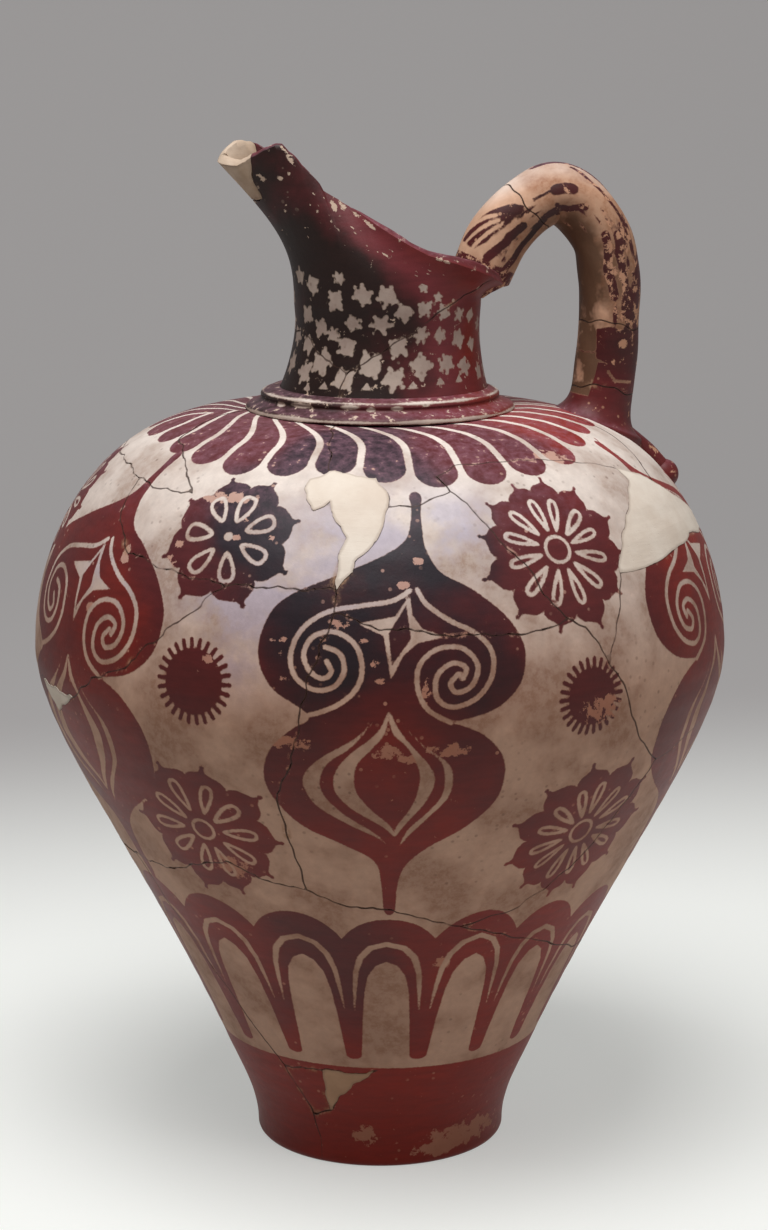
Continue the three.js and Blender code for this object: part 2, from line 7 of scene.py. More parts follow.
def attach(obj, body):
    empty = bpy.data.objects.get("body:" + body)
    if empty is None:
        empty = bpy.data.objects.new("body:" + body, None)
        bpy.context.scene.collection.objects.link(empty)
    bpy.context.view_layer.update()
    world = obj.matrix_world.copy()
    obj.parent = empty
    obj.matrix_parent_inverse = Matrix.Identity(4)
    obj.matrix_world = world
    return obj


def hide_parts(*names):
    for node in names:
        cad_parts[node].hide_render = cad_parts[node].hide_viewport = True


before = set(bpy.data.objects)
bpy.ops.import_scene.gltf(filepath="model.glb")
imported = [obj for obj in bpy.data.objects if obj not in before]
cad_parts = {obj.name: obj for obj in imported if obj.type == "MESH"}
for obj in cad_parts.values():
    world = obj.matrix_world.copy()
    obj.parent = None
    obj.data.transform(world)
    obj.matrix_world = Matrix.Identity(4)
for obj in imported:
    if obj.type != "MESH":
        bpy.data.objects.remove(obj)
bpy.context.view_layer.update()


# Body wall
# The wall is thrown clay about 6.5 mm thick: a narrow foot, a high broad belly and a flat shoulder
# with a hole for the neck. It is broken into sherds, glued edge to edge with fine open joints.
WALL = 6.5
FOOT_STEPS = 20
HAND_SWELLS = (0.3, 0.2)
RING_DEPTH = 0.06
RING_STEP = 1.9
EVEN_FOOT = 25


def bezier(start, first, second, end, count):
    """Points of the cubic curve that leaves start towards first and reaches end from second."""
    t = np.linspace(0, 1, count)[:, None]
    start, first, second, end = map(np.array, (start, first, second, end))
    return (1 - t) ** 3 * start + 3 * t * (1 - t) ** 2 * first + 3 * t * t * (1 - t) * second + t ** 3 * end


wall_line = np.vstack([
    bezier((48, 0), (49.2, 0), (50, 1.2), (50, 2.5), FOOT_STEPS)[:-1],
    bezier((50, 2.5), (50, 16.5), (57.2, 29), (62, 40), 200),
    bezier((62, 40), (95.2, 117.2), (136.5, 171.5), (136.5, 203.5), 800)[1:],
    bezier((136.5, 203.5), (136.5, 243.5), (111, 296), (55, 296), 600)[1:],
    np.linspace((55, 296), (44.3, 296), 30)[1:],
])
wall_run = np.r_[0, np.cumsum(np.hypot(*np.diff(wall_line, axis=0).T))]
wall_run -= wall_run[FOOT_STEPS - 1]
wall_slope = np.gradient(wall_line, wall_run, axis=0)
wall_slope /= np.hypot(*wall_slope.T)[:, None]


def wall_radius(run):
    """The body's outer radius at a length of run up the wall from the foot."""
    return np.interp(run, wall_run, wall_line[:, 0])


def turned_from(azimuth, axis):
    """The azimuth counted from an axis, between -180 and 180 degrees."""
    return (azimuth - axis + 180) % 360 - 180


def body_surface(azimuth, run, depth):
    """A point of the body: the wall's line turned round the axis, moved inwards by depth, square to the
    wall, with the slow unevenness and the fine turning rings that a potter's hand leaves."""
    turn = np.radians(azimuth)
    uneven = HAND_SWELLS[0] * np.sin(2 * turn + run / 70) + HAND_SWELLS[1] * np.sin(3 * turn - run / 41 + 1)
    swelling = np.sin(run / 23 + 2 * np.sin(turn + 1))
    rings = RING_DEPTH * np.sin(run / RING_STEP + 0.8 * np.sin(turn)) * swelling
    out = (uneven + rings) * np.clip(run / EVEN_FOOT, 0, 1) - depth
    radius = wall_radius(run) + out * np.interp(run, wall_run, wall_slope[:, 1])
    height = np.interp(run, wall_run, wall_line[:, 1]) - out * np.interp(run, wall_run, wall_slope[:, 0])
    return np.stack([radius * np.sin(turn), -radius * np.cos(turn), height], -1)


def on_body(points):
    """Azimuth and run of points near the body's outer surface, and how far off it they lie."""
    radius = np.hypot(points[:, 0], points[:, 1])
    gap = np.hypot(radius[:, None] - wall_line[None, :, 0], points[:, 2][:, None] - wall_line[None, :, 1])
    nearest = gap.argmin(1)
    azimuth = np.degrees(np.arctan2(points[:, 0], -points[:, 1]))
    return azimuth, wall_run[nearest], gap[np.arange(len(points)), nearest]


def break_outline(node, locate, reach):
    """The outline of a sherd's outer face, once round against the clock as (azimuth, run): the border of
    the faces whose corners all lie within reach of the wall's outer surface."""
    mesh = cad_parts[node].data
    mesh.calc_loop_triangles()
    corners = np.zeros(len(mesh.vertices) * 3)
    mesh.vertices.foreach_get("co", corners)
    triangles = np.zeros(len(mesh.loop_triangles) * 3, int)
    mesh.loop_triangles.foreach_get("vertices", triangles)
    points, same = np.unique(np.round(corners.reshape(-1, 3) * 1000, 2), axis=0, return_inverse=True)
    azimuth, run, gap = locate(points)
    faces = same.ravel()[triangles].reshape(-1, 3)
    faces = faces[(gap[faces] < reach).all(1)]
    edges = {(a, b) for face in faces for a, b in zip(face, np.roll(face, -1)) if a != b}
    after = {a: b for a, b in edges if (b, a) not in edges}
    loops = []
    while after:
        loop = [next(iter(after))]
        while loop[-1] in after:
            loop.append(after.pop(loop[-1]))
        loops.append(loop[:-1])
    loop = max(loops, key=len)
    return np.stack([np.degrees(np.unwrap(np.radians(azimuth[loop]))), run[loop]], 1)


def line_distance(points, line):
    """Distance of flat points to the nearest stretch of an open line."""
    best = np.full(len(points), 1e9)
    for start, end in zip(line[:-1], line[1:]):
        side = end - start
        away = points - start
        share = np.clip(away @ side / max(side @ side, 1e-12), 0, 1)
        best = np.minimum(best, ((away - share[:, None] * side) ** 2).sum(1))
    return np.sqrt(best)


def ring_distance(points, ring):
    """Signed distance of flat points to a closed ring of corners: negative inside it, where a line to one
    side crosses the ring an odd number of times."""
    inside = np.zeros(len(points), bool)
    for start, end in zip(ring, np.roll(ring, -1, 0)):
        rise = end[1] - start[1]
        if rise:
            crossing = start[0] + (end[0] - start[0]) * (points[:, 1] - start[1]) / rise
            inside ^= ((start[1] > points[:, 1]) != (end[1] > points[:, 1])) & (points[:, 0] < crossing)
    return np.where(inside, -1, 1) * line_distance(points, np.vstack([ring, ring[:1]]))


FOOT_ROLL = 3.2
FOOT_SEAT = 7.5


def stood(outline):
    """A foot sherd's outline with its lowest stretch replaced by a straight one along the foot's edge."""
    high = outline[:, 1] > FOOT_SEAT
    start = int(np.flatnonzero(high & ~np.roll(high, 1))[0])
    sides = np.roll(outline, -start, 0)[:high.sum()]
    sides[:, 0] = np.degrees(np.unwrap(np.radians(sides[:, 0])))
    return np.vstack([sides, (sides[-1, 0], -FOOT_ROLL), (sides[0, 0], -FOOT_ROLL)])


def parted(ring, longest):
    """A closed ring with corners added so that no stretch is longer than a given length."""
    ahead = np.roll(ring, -1, 0)
    counts = np.maximum(1, np.ceil(np.hypot(*(ahead - ring).T) / longest).astype(int))
    return np.concatenate([a + (b - a) * np.arange(n)[:, None] / n for a, b, n in zip(ring, ahead, counts)])


BREAK_STEP = 2.6
BREAK_SWAY = 0.5
SWAY_FADE = 3


def wandering(outline, scale, surface, finished):
    """A break's flat outline as it really runs: between its corners it sways by up to a millimetre, by waves
    fixed in space and so alike on both sides of the joint. It stays put on the finished edges."""
    flat = parted(outline * scale, BREAK_STEP)
    azimuth, run = (flat / scale).T
    low, high = finished
    held = np.clip(np.minimum(run - low, high - run) * scale[1] / SWAY_FADE, 0, 1)[:, None]
    place = surface(azimuth, run, 0.0)
    aside = np.sin(place @ (0.31, 0.24, 0.43)) + 0.6 * np.sin(place @ (0.9, -0.7, 0.65) + 1)
    upward = np.sin(place @ (0.27, -0.36, 0.4) + 2) + 0.6 * np.sin(place @ (-0.8, 0.75, 0.7))
    return flat + BREAK_SWAY * held * np.stack([aside, upward], 1)


CHIP_DEPTH = 0.4
GRID_CLEAR = 0.4
CLEAR_GRAIN = 1.2


def filled_ring(edge, outline, grain):
    """Triangles over the inside of a flat ring, with inner corners on a staggered grid of the grain's size.
    Returns the corners, the triangles, and which corner each ring point became."""
    low, high = edge.min(0), edge.max(0)
    across, up = np.meshgrid(np.arange(low[0], high[0], grain), np.arange(low[1], high[1], grain))
    across[::2] += grain / 2
    grid = np.stack([across.ravel(), up.ravel()], 1)
    grid = grid[ring_distance(grid, outline) < -GRID_CLEAR * min(grain, CLEAR_GRAIN) - CHIP_DEPTH]
    corners = [Vector(point) for point in np.vstack([edge, grid])]
    found, _, faces, sources, _, _ = delaunay_2d_cdt(corners, [], [list(range(len(edge)))], 1, 1e-5)
    place = np.zeros(len(edge), int)
    for corner, source in enumerate(sources):
        for index in source:
            if index < len(edge):
                place[index] = corner
    return np.array([tuple(corner) for corner in found]), np.array(faces), place


JOINT_WEAR = -0.12
CHIP_FROM = 0.6
SHORTEST = 0.2


def worn_edge(flat, grain, random):
    """A break's flat outline with corners no further apart than the grain, drawn in here and there by wear
    and by small chips."""
    edge = parted(flat, grain)
    edge = edge[np.hypot(*(np.roll(edge, -1, 0) - edge).T) > SHORTEST]
    along = np.roll(edge, -1, 0) - np.roll(edge, 1, 0)
    along /= np.maximum(np.hypot(*along.T), 1e-9)[:, None]
    rough = random.random(len(edge))
    rough = (rough + np.roll(rough, 1) + np.roll(rough, 2)) / 3
    inwards = JOINT_WEAR + CHIP_DEPTH * np.clip(rough - CHIP_FROM, 0, 1) / (1 - CHIP_FROM)
    return edge + np.stack([-along[:, 1], along[:, 0]], 1) * inwards[:, None]


SHARP_ARRIS = 55


def as_object(name, points, faces):
    """A smooth-shaded mesh object in metres from points in millimetres, with its broken arrises sharp."""
    mesh = bpy.data.meshes.new(name)
    mesh.from_pydata((points / 1000).tolist(), [], faces)
    mesh.polygons.foreach_set("use_smooth", np.ones(len(mesh.polygons), bool))
    mesh.set_sharp_from_angle(angle=np.radians(SHARP_ARRIS))
    piece = bpy.data.objects.new(name, mesh)
    bpy.context.scene.collection.objects.link(piece)
    return piece


SHERD_SHIFT = 0.1
ARRIS_WEAR = 0.03
RIM_FROM = 1.96
# Rows of corners down a broken edge: share of the thickness, share of the crown
EDGE_ROWS = ((0.25, 0.75), (0.5, 1), (0.75, 0.75))


def sherd(name, outline, scale, surface, finished, grain, inner_grain, thickness, crown=0):
    """A closed sherd: a finely gridded outer face, a plainer inner face one thickness deeper, and the edge
    between them, bulged by the crown where it is the finished rim. Returns the object, and azimuth, run
    and distance to the edge of each outer corner."""
    random = np.random.default_rng(len(name) * 7 + len(outline))
    lift = random.uniform(-SHERD_SHIFT, SHERD_SHIFT)
    flat = wandering(outline, scale, surface, finished)
    edge = worn_edge(flat, grain, random)
    outer, outer_faces, outer_place = filled_ring(edge, flat, grain)
    inner, inner_faces, inner_place = filled_ring(edge, flat, inner_grain)
    azimuth, run = (outer / scale).T
    depth = np.full(len(outer), -lift)
    depth[outer_place] += ARRIS_WEAR
    edge_azimuth, edge_run = (edge / scale).T
    around = []
    for share, bulge in EDGE_ROWS:
        row = surface(edge_azimuth, edge_run, thickness * share)
        row[:, 2] += crown * bulge * (edge_run > RIM_FROM)
        around.append(row)
    points = np.vstack([surface(azimuth, run, depth), *around, surface(*(inner / scale).T, thickness)])
    count = len(edge)
    first_inner = len(outer) + len(EDGE_ROWS) * count
    rows = [outer_place]
    rows += [first + np.arange(count) for first in range(len(outer), first_inner, count)]
    rows.append(first_inner + inner_place)
    strips = [np.stack([np.roll(a, -1), a, b, np.roll(b, -1)], 1) for a, b in zip(rows[:-1], rows[1:])]
    faces = outer_faces.tolist() + np.concatenate(strips).tolist()
    faces += (inner_faces[:, ::-1] + first_inner).tolist()
    return as_object(name, points, faces), azimuth, run, -ring_distance(outer, flat)


def keep(piece, name, outer_values, rest):
    """Stores a value at every corner of a piece: given on the outer face, one plain value elsewhere."""
    values = np.full(len(piece.data.vertices), rest, np.float32)
    values[:len(outer_values)] = outer_values
    piece.data.attributes.new(name, "FLOAT", "POINT").data.foreach_set("value", values)


# Slip painting on the body
# A dark iron slip, brushed on the pale burnished clay before firing: leaves round the neck, scroll figures,
# rosettes, suns, an arcade and a solid red foot. The kiln turned it black, maroon or brick red.
ROUND = 2.2
SCROLL_AXES = [
    # azimuth, stretch, hand
    (-8.6, 1, 1), (-69, 1.07, 1), (61.5, 1.09, -1), (118.5, 1.05, 1), (176, 1.05, 1), (233.5, 1.05, -1),
]
SCROLL_FOOT = 130
SCROLL_TOP = 312
SCROLL_BELOW = 6
SCROLL_REACH = 26
SCROLL_OUTLINE = [
    (5.6, 306), (6.8, 303.5), (6.3, 297), (6.2, 288), (6.6, 281), (8.7, 272.5), (13.5, 266), (18.3, 256.5),
    (21, 246.5), (21.2, 238), (19.8, 229.5), (15.9, 222.4), (10.6, 219.3), (8, 219.2), (11.1, 217.2),
    (14.6, 213), (17.6, 205), (18.6, 195.5), (17.6, 184), (13.2, 173.2), (7.3, 164.6), (3.4, 156), (2, 146),
    (1.7, 133), (0.6, 130), (-0.6, 133), (-1.1, 146), (-2.4, 158), (-8, 166.4), (-14.7, 175), (-18.6, 186.5),
    (-19.7, 197), (-18.1, 208), (-14.4, 216.3), (-12, 219.8), (-13.2, 223.8), (-17.7, 230.5), (-20.1, 242),
    (-19, 255.5), (-15.6, 264), (-8.4, 271.5), (-0.9, 279), (3, 285), (4.2, 292), (4.6, 299), (4.4, 304),
]
SCROLL_SPIRALS = [
    [(3.4, 266), (0.6, 262.4), (-4.4, 260.6), (-9.4, 258.3), (-13.3, 252), (-14.9, 243), (-14.1, 235),
     (-11.2, 230.6), (-8.2, 231.8), (-6.7, 237.5), (-7.4, 243.5), (-9.7, 245.8)],
    [(-13, 220.6), (-8.6, 224.2), (-5.3, 229.8), (-4, 237.5), (-5, 246.5), (-8.2, 251.2), (-11.4, 249.5),
     (-12.9, 243.5), (-12, 237.4), (-10, 234.6), (-8.6, 237), (-9.4, 240.8)],
    [(4.6, 266.4), (6, 261), (9.6, 254.8), (13.6, 249.8), (15.9, 243), (15.6, 234), (13.2, 227),
     (9.6, 224.2), (7.2, 227.6), (7.2, 235.5), (9.6, 239.8), (11.7, 238), (11.1, 234.2)],
    [(9.2, 218.6), (5.8, 223.6), (4.3, 231), (4.6, 239.5), (7.4, 245), (11.2, 245), (13.5, 239),
     (12.6, 231.8), (10.2, 229.4), (9.2, 232.6), (10.5, 236)],
]
SPIRAL_WIDTH = 1.75
SPIRAL_RUNS = (212, 272)
BAND_RUNS = (160, 228)
FIGURE_NEAR = 3
SCROLL_STAR = [
    (3.4, 264.6), (1, 256.8), (-4.9, 254.3), (-0.8, 250), (-0.3, 243), (0.3, 234.6), (2.2, 243),
    (4.4, 247.3), (8.7, 249.2), (5.2, 252.2), (3.7, 257.3),
]
SCROLL_KITE = [(2.8, 260.9), (0, 251), (0.4, 239.4), (3.4, 248.8)]
SCROLL_BANDS = [
    [(-2.5, 219.2), (-5, 213.4), (-10.2, 205.5), (-12.9, 199), (-13.4, 193), (-11.6, 184.4), (-6.9, 176.5),
     (-1.8, 169.7), (-0.1, 166.2), (-2.2, 171.8), (-6.8, 179.8), (-9.8, 187.5), (-10.8, 194.5), (-9.4, 203),
     (-5.6, 209.9)],
    [(-0.1, 223), (-1.8, 215.4), (-6.1, 206.5), (-8.3, 199), (-8.4, 191), (-5.8, 183.2), (-0.9, 175),
     (1.1, 170.2), (0.3, 175.5), (-3, 183.5), (-5.2, 192), (-5, 202), (-2.6, 209.2), (-0.6, 215.5)],
    [(0.1, 223), (0.5, 215.5), (3, 209), (4.7, 200), (4.7, 192), (3.6, 183.4), (1.4, 175), (1.2, 170.2),
     (3, 176.5), (5.8, 185.5), (7.2, 194.5), (6.4, 201.5), (3.4, 210.3), (1.4, 216.8)],
    [(2.6, 217), (5.6, 209.5), (9.2, 202.5), (10.1, 195), (9.4, 187), (6.3, 178.1), (3.7, 171), (2.1, 165.6),
     (3.4, 173.5), (6.4, 181.2), (8.5, 188.5), (8.8, 196), (8, 203.5), (5.2, 209.8)],
]


def brushed(points, closed):
    """The smooth way of a brush through a few points: a Catmull-Rom curve, five steps to each stretch."""
    points = np.array(points, float) * (ROUND, 1)
    if closed:
        before, start, end, after = (np.roll(points, shift, 0) for shift in (1, 0, -1, -2))
    else:
        padded = np.vstack([points[:1], points, points[-1:]])
        before, start, end, after = padded[:-3], padded[1:-2], padded[2:-1], padded[3:]
    t = np.linspace(0, 1, 5, endpoint=False)[:, None, None]
    bend = 2 * before - 5 * start + 4 * end - after
    twist = 3 * start - before - 3 * end + after
    curve = start + ((end - before) * t + bend * t ** 2 + twist * t ** 3) / 2
    curve = curve.transpose(1, 0, 2).reshape(-1, 2)
    return curve if closed else np.vstack([curve, points[-1:]])


def scroll(across, up):
    """How far a point lies outside the painted scroll figure: its outline, less the reserved spirals, the
    four-pointed star with its kite, and the nested bands below."""
    points = np.stack([across * ROUND, up], 1)
    figure = ring_distance(points, brushed(SCROLL_OUTLINE, True))
    upper = (up > SPIRAL_RUNS[0]) & (up < SPIRAL_RUNS[1]) & (figure < FIGURE_NEAR)
    lower = (up > BAND_RUNS[0]) & (up < BAND_RUNS[1]) & (figure < FIGURE_NEAR)
    for line in SCROLL_SPIRALS:
        spiral = line_distance(points[upper], brushed(line, False))
        figure[upper] = np.maximum(figure[upper], SPIRAL_WIDTH / 2 - spiral)
    star = ring_distance(points[upper], np.array(SCROLL_STAR) * (ROUND, 1))
    star = np.maximum(star, -ring_distance(points[upper], np.array(SCROLL_KITE) * (ROUND, 1)))
    figure[upper] = np.maximum(figure[upper], -star)
    for band in SCROLL_BANDS:
        figure[lower] = np.maximum(figure[lower], -ring_distance(points[lower], brushed(band, True)))
    return figure


ROSETTES = [
    # azimuth, run, radius, petals, lobes, centre ring, turn
    (-37.5, 284, 26.5, 7, 8, 0, -0.072), (22, 278, 31, 12, 12, 5, 0.05), (-42.8, 167, 32, 10, 10, 4.5, 0.2),
    (29.7, 162.5, 32, 13, 11, 5, 0), (90, 278, 30, 12, 12, 5, 0), (90, 165, 32, 12, 11, 5, 0.1),
    (147, 282, 30, 10, 10, 5, 0), (147, 165, 32, 11, 10, 5, 0.2), (205, 280, 30, 12, 11, 5, 0.1),
    (205, 165, 32, 10, 10, 5, 0), (-98, 282, 29, 11, 10, 5, 0), (-99, 165, 32, 12, 11, 5, 0.1),
]
LOBE_SHARE = [-0.5, -0.46, -0.34, -0.18, -0.07, -0.035, -0.05, 0, 0.05, 0.035, 0.07, 0.18, 0.34, 0.46]
LOBE_RISE = [0.79, 0.835, 0.885, 0.91, 0.935, 0.98, 1.02, 1.045, 1.02, 0.98, 0.935, 0.91, 0.885, 0.835]
PETAL_FROM, PETAL_TO = 0.24, 0.71
PETAL_WIDTH = 0.38
PETAL_LINE = 1.5
RING_LINE = 1.4
CENTRE_DOT = 1.8
ROSETTE_NEAR = 1.3


def rosette(across, up, radius, petals, lobes, ring, turn):
    """How far a point lies outside a painted rosette: a disc with uneven lobes, each drawn out to a knobbed
    nib, less the reserved outlines of its drop-shaped petals and of its centre ring or dot."""
    random = np.random.default_rng(petals + int(10 * radius))
    share, rise = np.array(LOBE_SHARE), np.array(LOBE_RISE)
    middle = 1 - (2 * share) ** 2
    lean = random.uniform(-0.11, 0.11, (lobes, 1)) * middle ** 2
    swell = 1 + random.uniform(-0.055, 0.05, (lobes, 1)) * middle
    angle = 2 * np.pi * ((np.arange(lobes)[:, None] + share + lean) / lobes + turn)
    outline = np.stack([radius * swell * rise * np.cos(angle), radius * swell * rise * np.sin(angle)], -1)
    figure = ring_distance(np.stack([across, up], 1), outline.reshape(-1, 2))
    out = np.hypot(across, up)
    around = (np.arctan2(up, across) / (2 * np.pi) + turn) * petals
    petal = np.round(around).astype(int) % petals
    aside = (around - np.round(around)) * 2 * np.pi / petals + random.uniform(-0.04, 0.04, petals)[petal]
    slim = random.uniform(0.85, 1.12, petals)[petal]
    shift = random.uniform(-0.03, 0.03, petals)[petal] * radius
    t = np.linspace(0, np.pi, 12)
    drop = (1 - np.cos(t)) / 2
    half = PETAL_WIDTH * 2 * np.pi / petals * 0.52 * radius * np.sin(t).clip(0) ** 0.8 * (0.4 + 0.6 * drop)
    along = radius * (PETAL_FROM + (PETAL_TO - PETAL_FROM) * drop)
    loop = np.vstack([np.stack([along, half], 1), np.stack([along, -half], 1)[-2:0:-1]])
    inside = ring_distance(np.stack([out * np.cos(aside) + shift, out * np.sin(aside) * slim], 1), loop)
    figure = np.maximum(figure, PETAL_LINE / 2 - np.abs(inside + PETAL_LINE / 2))
    centre = RING_LINE / 2 - np.abs(out - ring) if ring else CENTRE_DOT - out
    return np.maximum(figure, centre)


SUNS = [
    # azimuth, run, disc's radius, rays' reach
    (-39.4, 230, 12, 16), (24.3, 223, 10.5, 14.8), (90, 226, 11.5, 15.5), (147, 226, 11.5, 15.5),
    (205, 226, 11.5, 15.5), (-99, 226, 11.5, 15.5),
]
SUN_RAYS = 26
RAY_HALF = 0.85
SUN_NEAR = 2


def sun(across, up, disc, reach):
    """How far a point lies outside a painted sun: a small disc and a ring of short round-ended rays."""
    out = np.hypot(across, up)
    around = np.arctan2(up, across) / (2 * np.pi) * SUN_RAYS
    side = (around - np.round(around)) / SUN_RAYS * 2 * np.pi * out
    ray = np.hypot(side, np.clip(out - reach + RAY_HALF, 0, None)) - RAY_HALF
    return np.minimum(out - disc, ray)


LEAF_FIRST = 13
LEAF_STEP = 11.35
LEAF_GAP = 2.8
LEAF_TURN = 330
LEAF_CURL = 30
# Degrees from the beak, and there the lean of the leaves in degrees and the run of their tips
LEAF_LEANS = [(0, 26), (42, 24), (65, 20), (86, 14), (109, 11), (132, 4), (160, 0)]
LEAF_TIPS = [
    (13, 320), (35, 314), (47, 311), (70, 314), (90, 308), (101, 307), (125, 312), (136, 320), (148, 326),
    (180, 330),
]


def leaves(azimuth, run):
    """How far a point lies outside the painted leaves round the neck. Counted from the beak to both sides,
    they lean further towards the beak the nearer they start to it, and end in a round tip."""
    aside = np.abs((azimuth + 270) % 360 - 180)
    rise = (np.clip(run - LEAF_TURN, 0, None) / LEAF_CURL) ** 2
    tip_aside = aside
    for _ in range(6):
        lean = np.interp(tip_aside, *zip(*LEAF_LEANS))
        tip_aside = aside + lean * rise
    leaf = np.round((tip_aside - LEAF_FIRST) / LEAF_STEP)
    middle = LEAF_FIRST + LEAF_STEP * leaf
    tip = np.interp(middle, *zip(*LEAF_TIPS))
    degree = np.radians(wall_radius(run))
    side = np.abs(tip_aside - middle) * degree
    half = LEAF_STEP / 2 * degree - LEAF_GAP / 2
    below = np.clip(tip + half - run, 0, None)
    return np.hypot(side, below) - half


ARCH_AXES = [-91.5, -71, -50, -28.5, -8.5, 13.5, 32, 50, 70, 90, 110, 130, 150, 170, 190, 210, 229, 248.5]
ARCH_STEP = 20.5
ARCH_TOP = 130
ARCH_LIFTS = [(-50, 1), (-28.5, 0), (-8.5, -2.5), (13.5, -1), (32, -3.5), (50, -6), (120, -2), (200, 0)]
ARCH_HIGH = 32
ARCH_HALF = 13.2
ARCH_STEEP = 0.85
# The left halves of the reserved line and of the bare tongue under an arch
ARCH_LINE = [(-8.8, 80), (-8.2, 92), (-7.6, 101), (-6.2, 109), (-3.8, 114.5), (0, 117)]
ARCH_LINE_HALF = [(80, 0.2), (92, 0.8), (110, 1.2)]
ARCH_TONGUE = [
    (-8.4, 40), (-7.6, 56), (-7.2, 62), (-6.6, 75), (-5.7, 90), (-4.6, 99), (-2.6, 105), (0, 107.5),
]
ARCH_ROUND = 1.5
LEG_END = 52
LEG_HALF = 4
FOOT_LINE = 47.5


def mirrored(half):
    """A line from its left half, which ends on the axis, as points on the drawing's flat."""
    half = np.array(half, float) * (ARCH_ROUND, 1)
    return np.vstack([half, half[-2::-1] * (-1, 1)])


def arcade(azimuth, run):
    """How far a point lies outside the painted arcade: scalloped arches on round-ended legs, less the bare
    tongue and the thin reserved line under each arch. Below a bare band the whole foot is painted."""
    axes = [ARCH_AXES[-1] - 360, *ARCH_AXES, ARCH_AXES[0] + 360]
    place = np.interp((azimuth - axes[0]) % 360 + axes[0], axes, np.arange(len(axes)))
    across = (place - np.round(place)) * ARCH_STEP
    up = run - np.interp(azimuth, *zip(*ARCH_LIFTS), period=360)
    points = np.stack([across * ARCH_ROUND, up], 1)
    scallop = np.sqrt(np.clip(1 - (across / ARCH_HALF) ** 2, 0, 1))
    crown = (up - (ARCH_TOP - ARCH_HIGH + ARCH_HIGH * scallop)) * ARCH_STEEP
    tongue = ring_distance(points, mirrored(ARCH_TONGUE))
    beside_leg = (np.abs(across) - ARCH_STEP / 2) * np.radians(wall_radius(run))
    leg = np.hypot(beside_leg, np.clip(LEG_END + LEG_HALF - run, 0, None)) - LEG_HALF
    figure = np.maximum(crown, -tongue)
    figure = np.where(run < LEG_END + LEG_HALF, np.maximum(figure, leg), figure)
    line = line_distance(points, mirrored(ARCH_LINE))
    figure = np.maximum(figure, np.interp(up, *zip(*ARCH_LINE_HALF)) - line)
    return np.minimum(figure, run - FOOT_LINE)


SHOULDER_STRIPE = [
    (57.5, 323), (56, 316.5), (56.2, 311), (57.3, 303), (61, 296.5), (67, 291), (73, 285.5), (78, 278),
]
STRIPE_HALF = [(280, 2.4), (320, 0.5)]
STRIPE_FROM = 265
STRIPE_REACH = 45


def shoulder_stripe(azimuth, run):
    """How far a point lies outside the brush line beside the handle's tail, thin above and thick below,
    drawn on both sides of the tail."""
    aside = 90 - np.abs(turned_from(azimuth, 90))
    points = np.stack([aside * ROUND, run], 1)
    half = np.interp(run, *zip(*STRIPE_HALF))
    return line_distance(points, brushed(SHOULDER_STRIPE, False)) - half


KILN_SOFT = 150
# The kiln's tone of the slip at a few places: azimuth, run, tone from 0 (black) over 0.5 (maroon) to 1 (red)
KILN_TONES = [
    (-80, 340, 0.5), (-50, 335, 0.5), (-20, 330, 0.08), (-8, 325, 0.1), (5, 330, 0.42), (22, 325, 0.5),
    (45, 335, 0.85), (70, 340, 0.9), (-36, 287, 0.04), (-32, 293, 0.02), (-47, 281, 0.42), (-41, 270, 0.42),
    (22, 278, 0.5), (-4, 290, 0.05), (-18, 245, 0.15), (2, 245, 0.3), (-9, 200, 0.72), (-9, 160, 0.75),
    (-68, 290, 0.6), (-56, 245, 0.7), (-60, 200, 0.72), (-39, 230, 0.45), (24, 223, 0.45), (60, 250, 0.75),
    (-43, 167, 0.66), (30, 163, 0.66), (-50, 110, 0.75), (-20, 110, 0.5), (10, 110, 0.78), (35, 110, 0.85),
    (-20, 20, 0.95), (40, 20, 0.9), (120, 300, 0.7), (120, 150, 0.75), (180, 320, 0.5), (180, 240, 0.3),
    (180, 100, 0.7), (240, 300, 0.5), (240, 180, 0.7),
]
# Worn patches where the slip has come off: azimuth, run, half-width in degrees, half-height
WORN_PATCHES = [
    (-16.5, 12, 7, 5), (33, 8, 26, 5.5), (18, 3, 14, 3), (27, 218, 5, 6), (-39, 150, 4, 6),
    (5, 103, 2.5, 4), (33, 318, 4, 5), (-25, 248, 0.9, 1.4), (-25, 243, 0.7, 1.6), (-24.5, 234, 0.9, 1.2),
    (-27, 247.5, 1, 0.9), (-16.5, 253.5, 1.6, 2.6), (-12.5, 248, 0.9, 1.6), (-25, 211, 2.2, 3.4),
    (-21.5, 210, 1.7, 2.8), (-9, 208, 2.6, 3), (-5.5, 205, 1.7, 2.4), (0.5, 208, 3.6, 3),
    (-10.5, 240, 1, 2), (-3, 230, 1, 5), (-3.5, 277, 1, 1.6), (-10, 234, 0.8, 1.6), (-6, 268, 1.4, 2),
    (-58.5, 271, 1.2, 4), (-47.5, 272, 1.4, 2.4), (-29.5, 285, 1, 1.5), (-35, 292.5, 1.2, 2),
    (-47, 279, 1, 1.4), (-64, 249, 1.2, 2.6), (-37, 239, 1.1, 1.7), (-36, 284, 1.2, 1.6), (-41, 300, 8, 3),
]
# More of them round the sides and the back, scattered at random
scatter = np.random.default_rng(11)
HIDDEN_PATCHES = 64
WORN_PATCHES += zip(
    scatter.uniform(75, 285, HIDDEN_PATCHES), scatter.uniform(10, 345, HIDDEN_PATCHES),
    scatter.uniform(0.8, 3, HIDDEN_PATCHES) ** 1.3, scatter.uniform(1, 4, HIDDEN_PATCHES),
)
LEAF_WEAR = 0.16
LEAF_WEAR_RUNS = (312, 322)
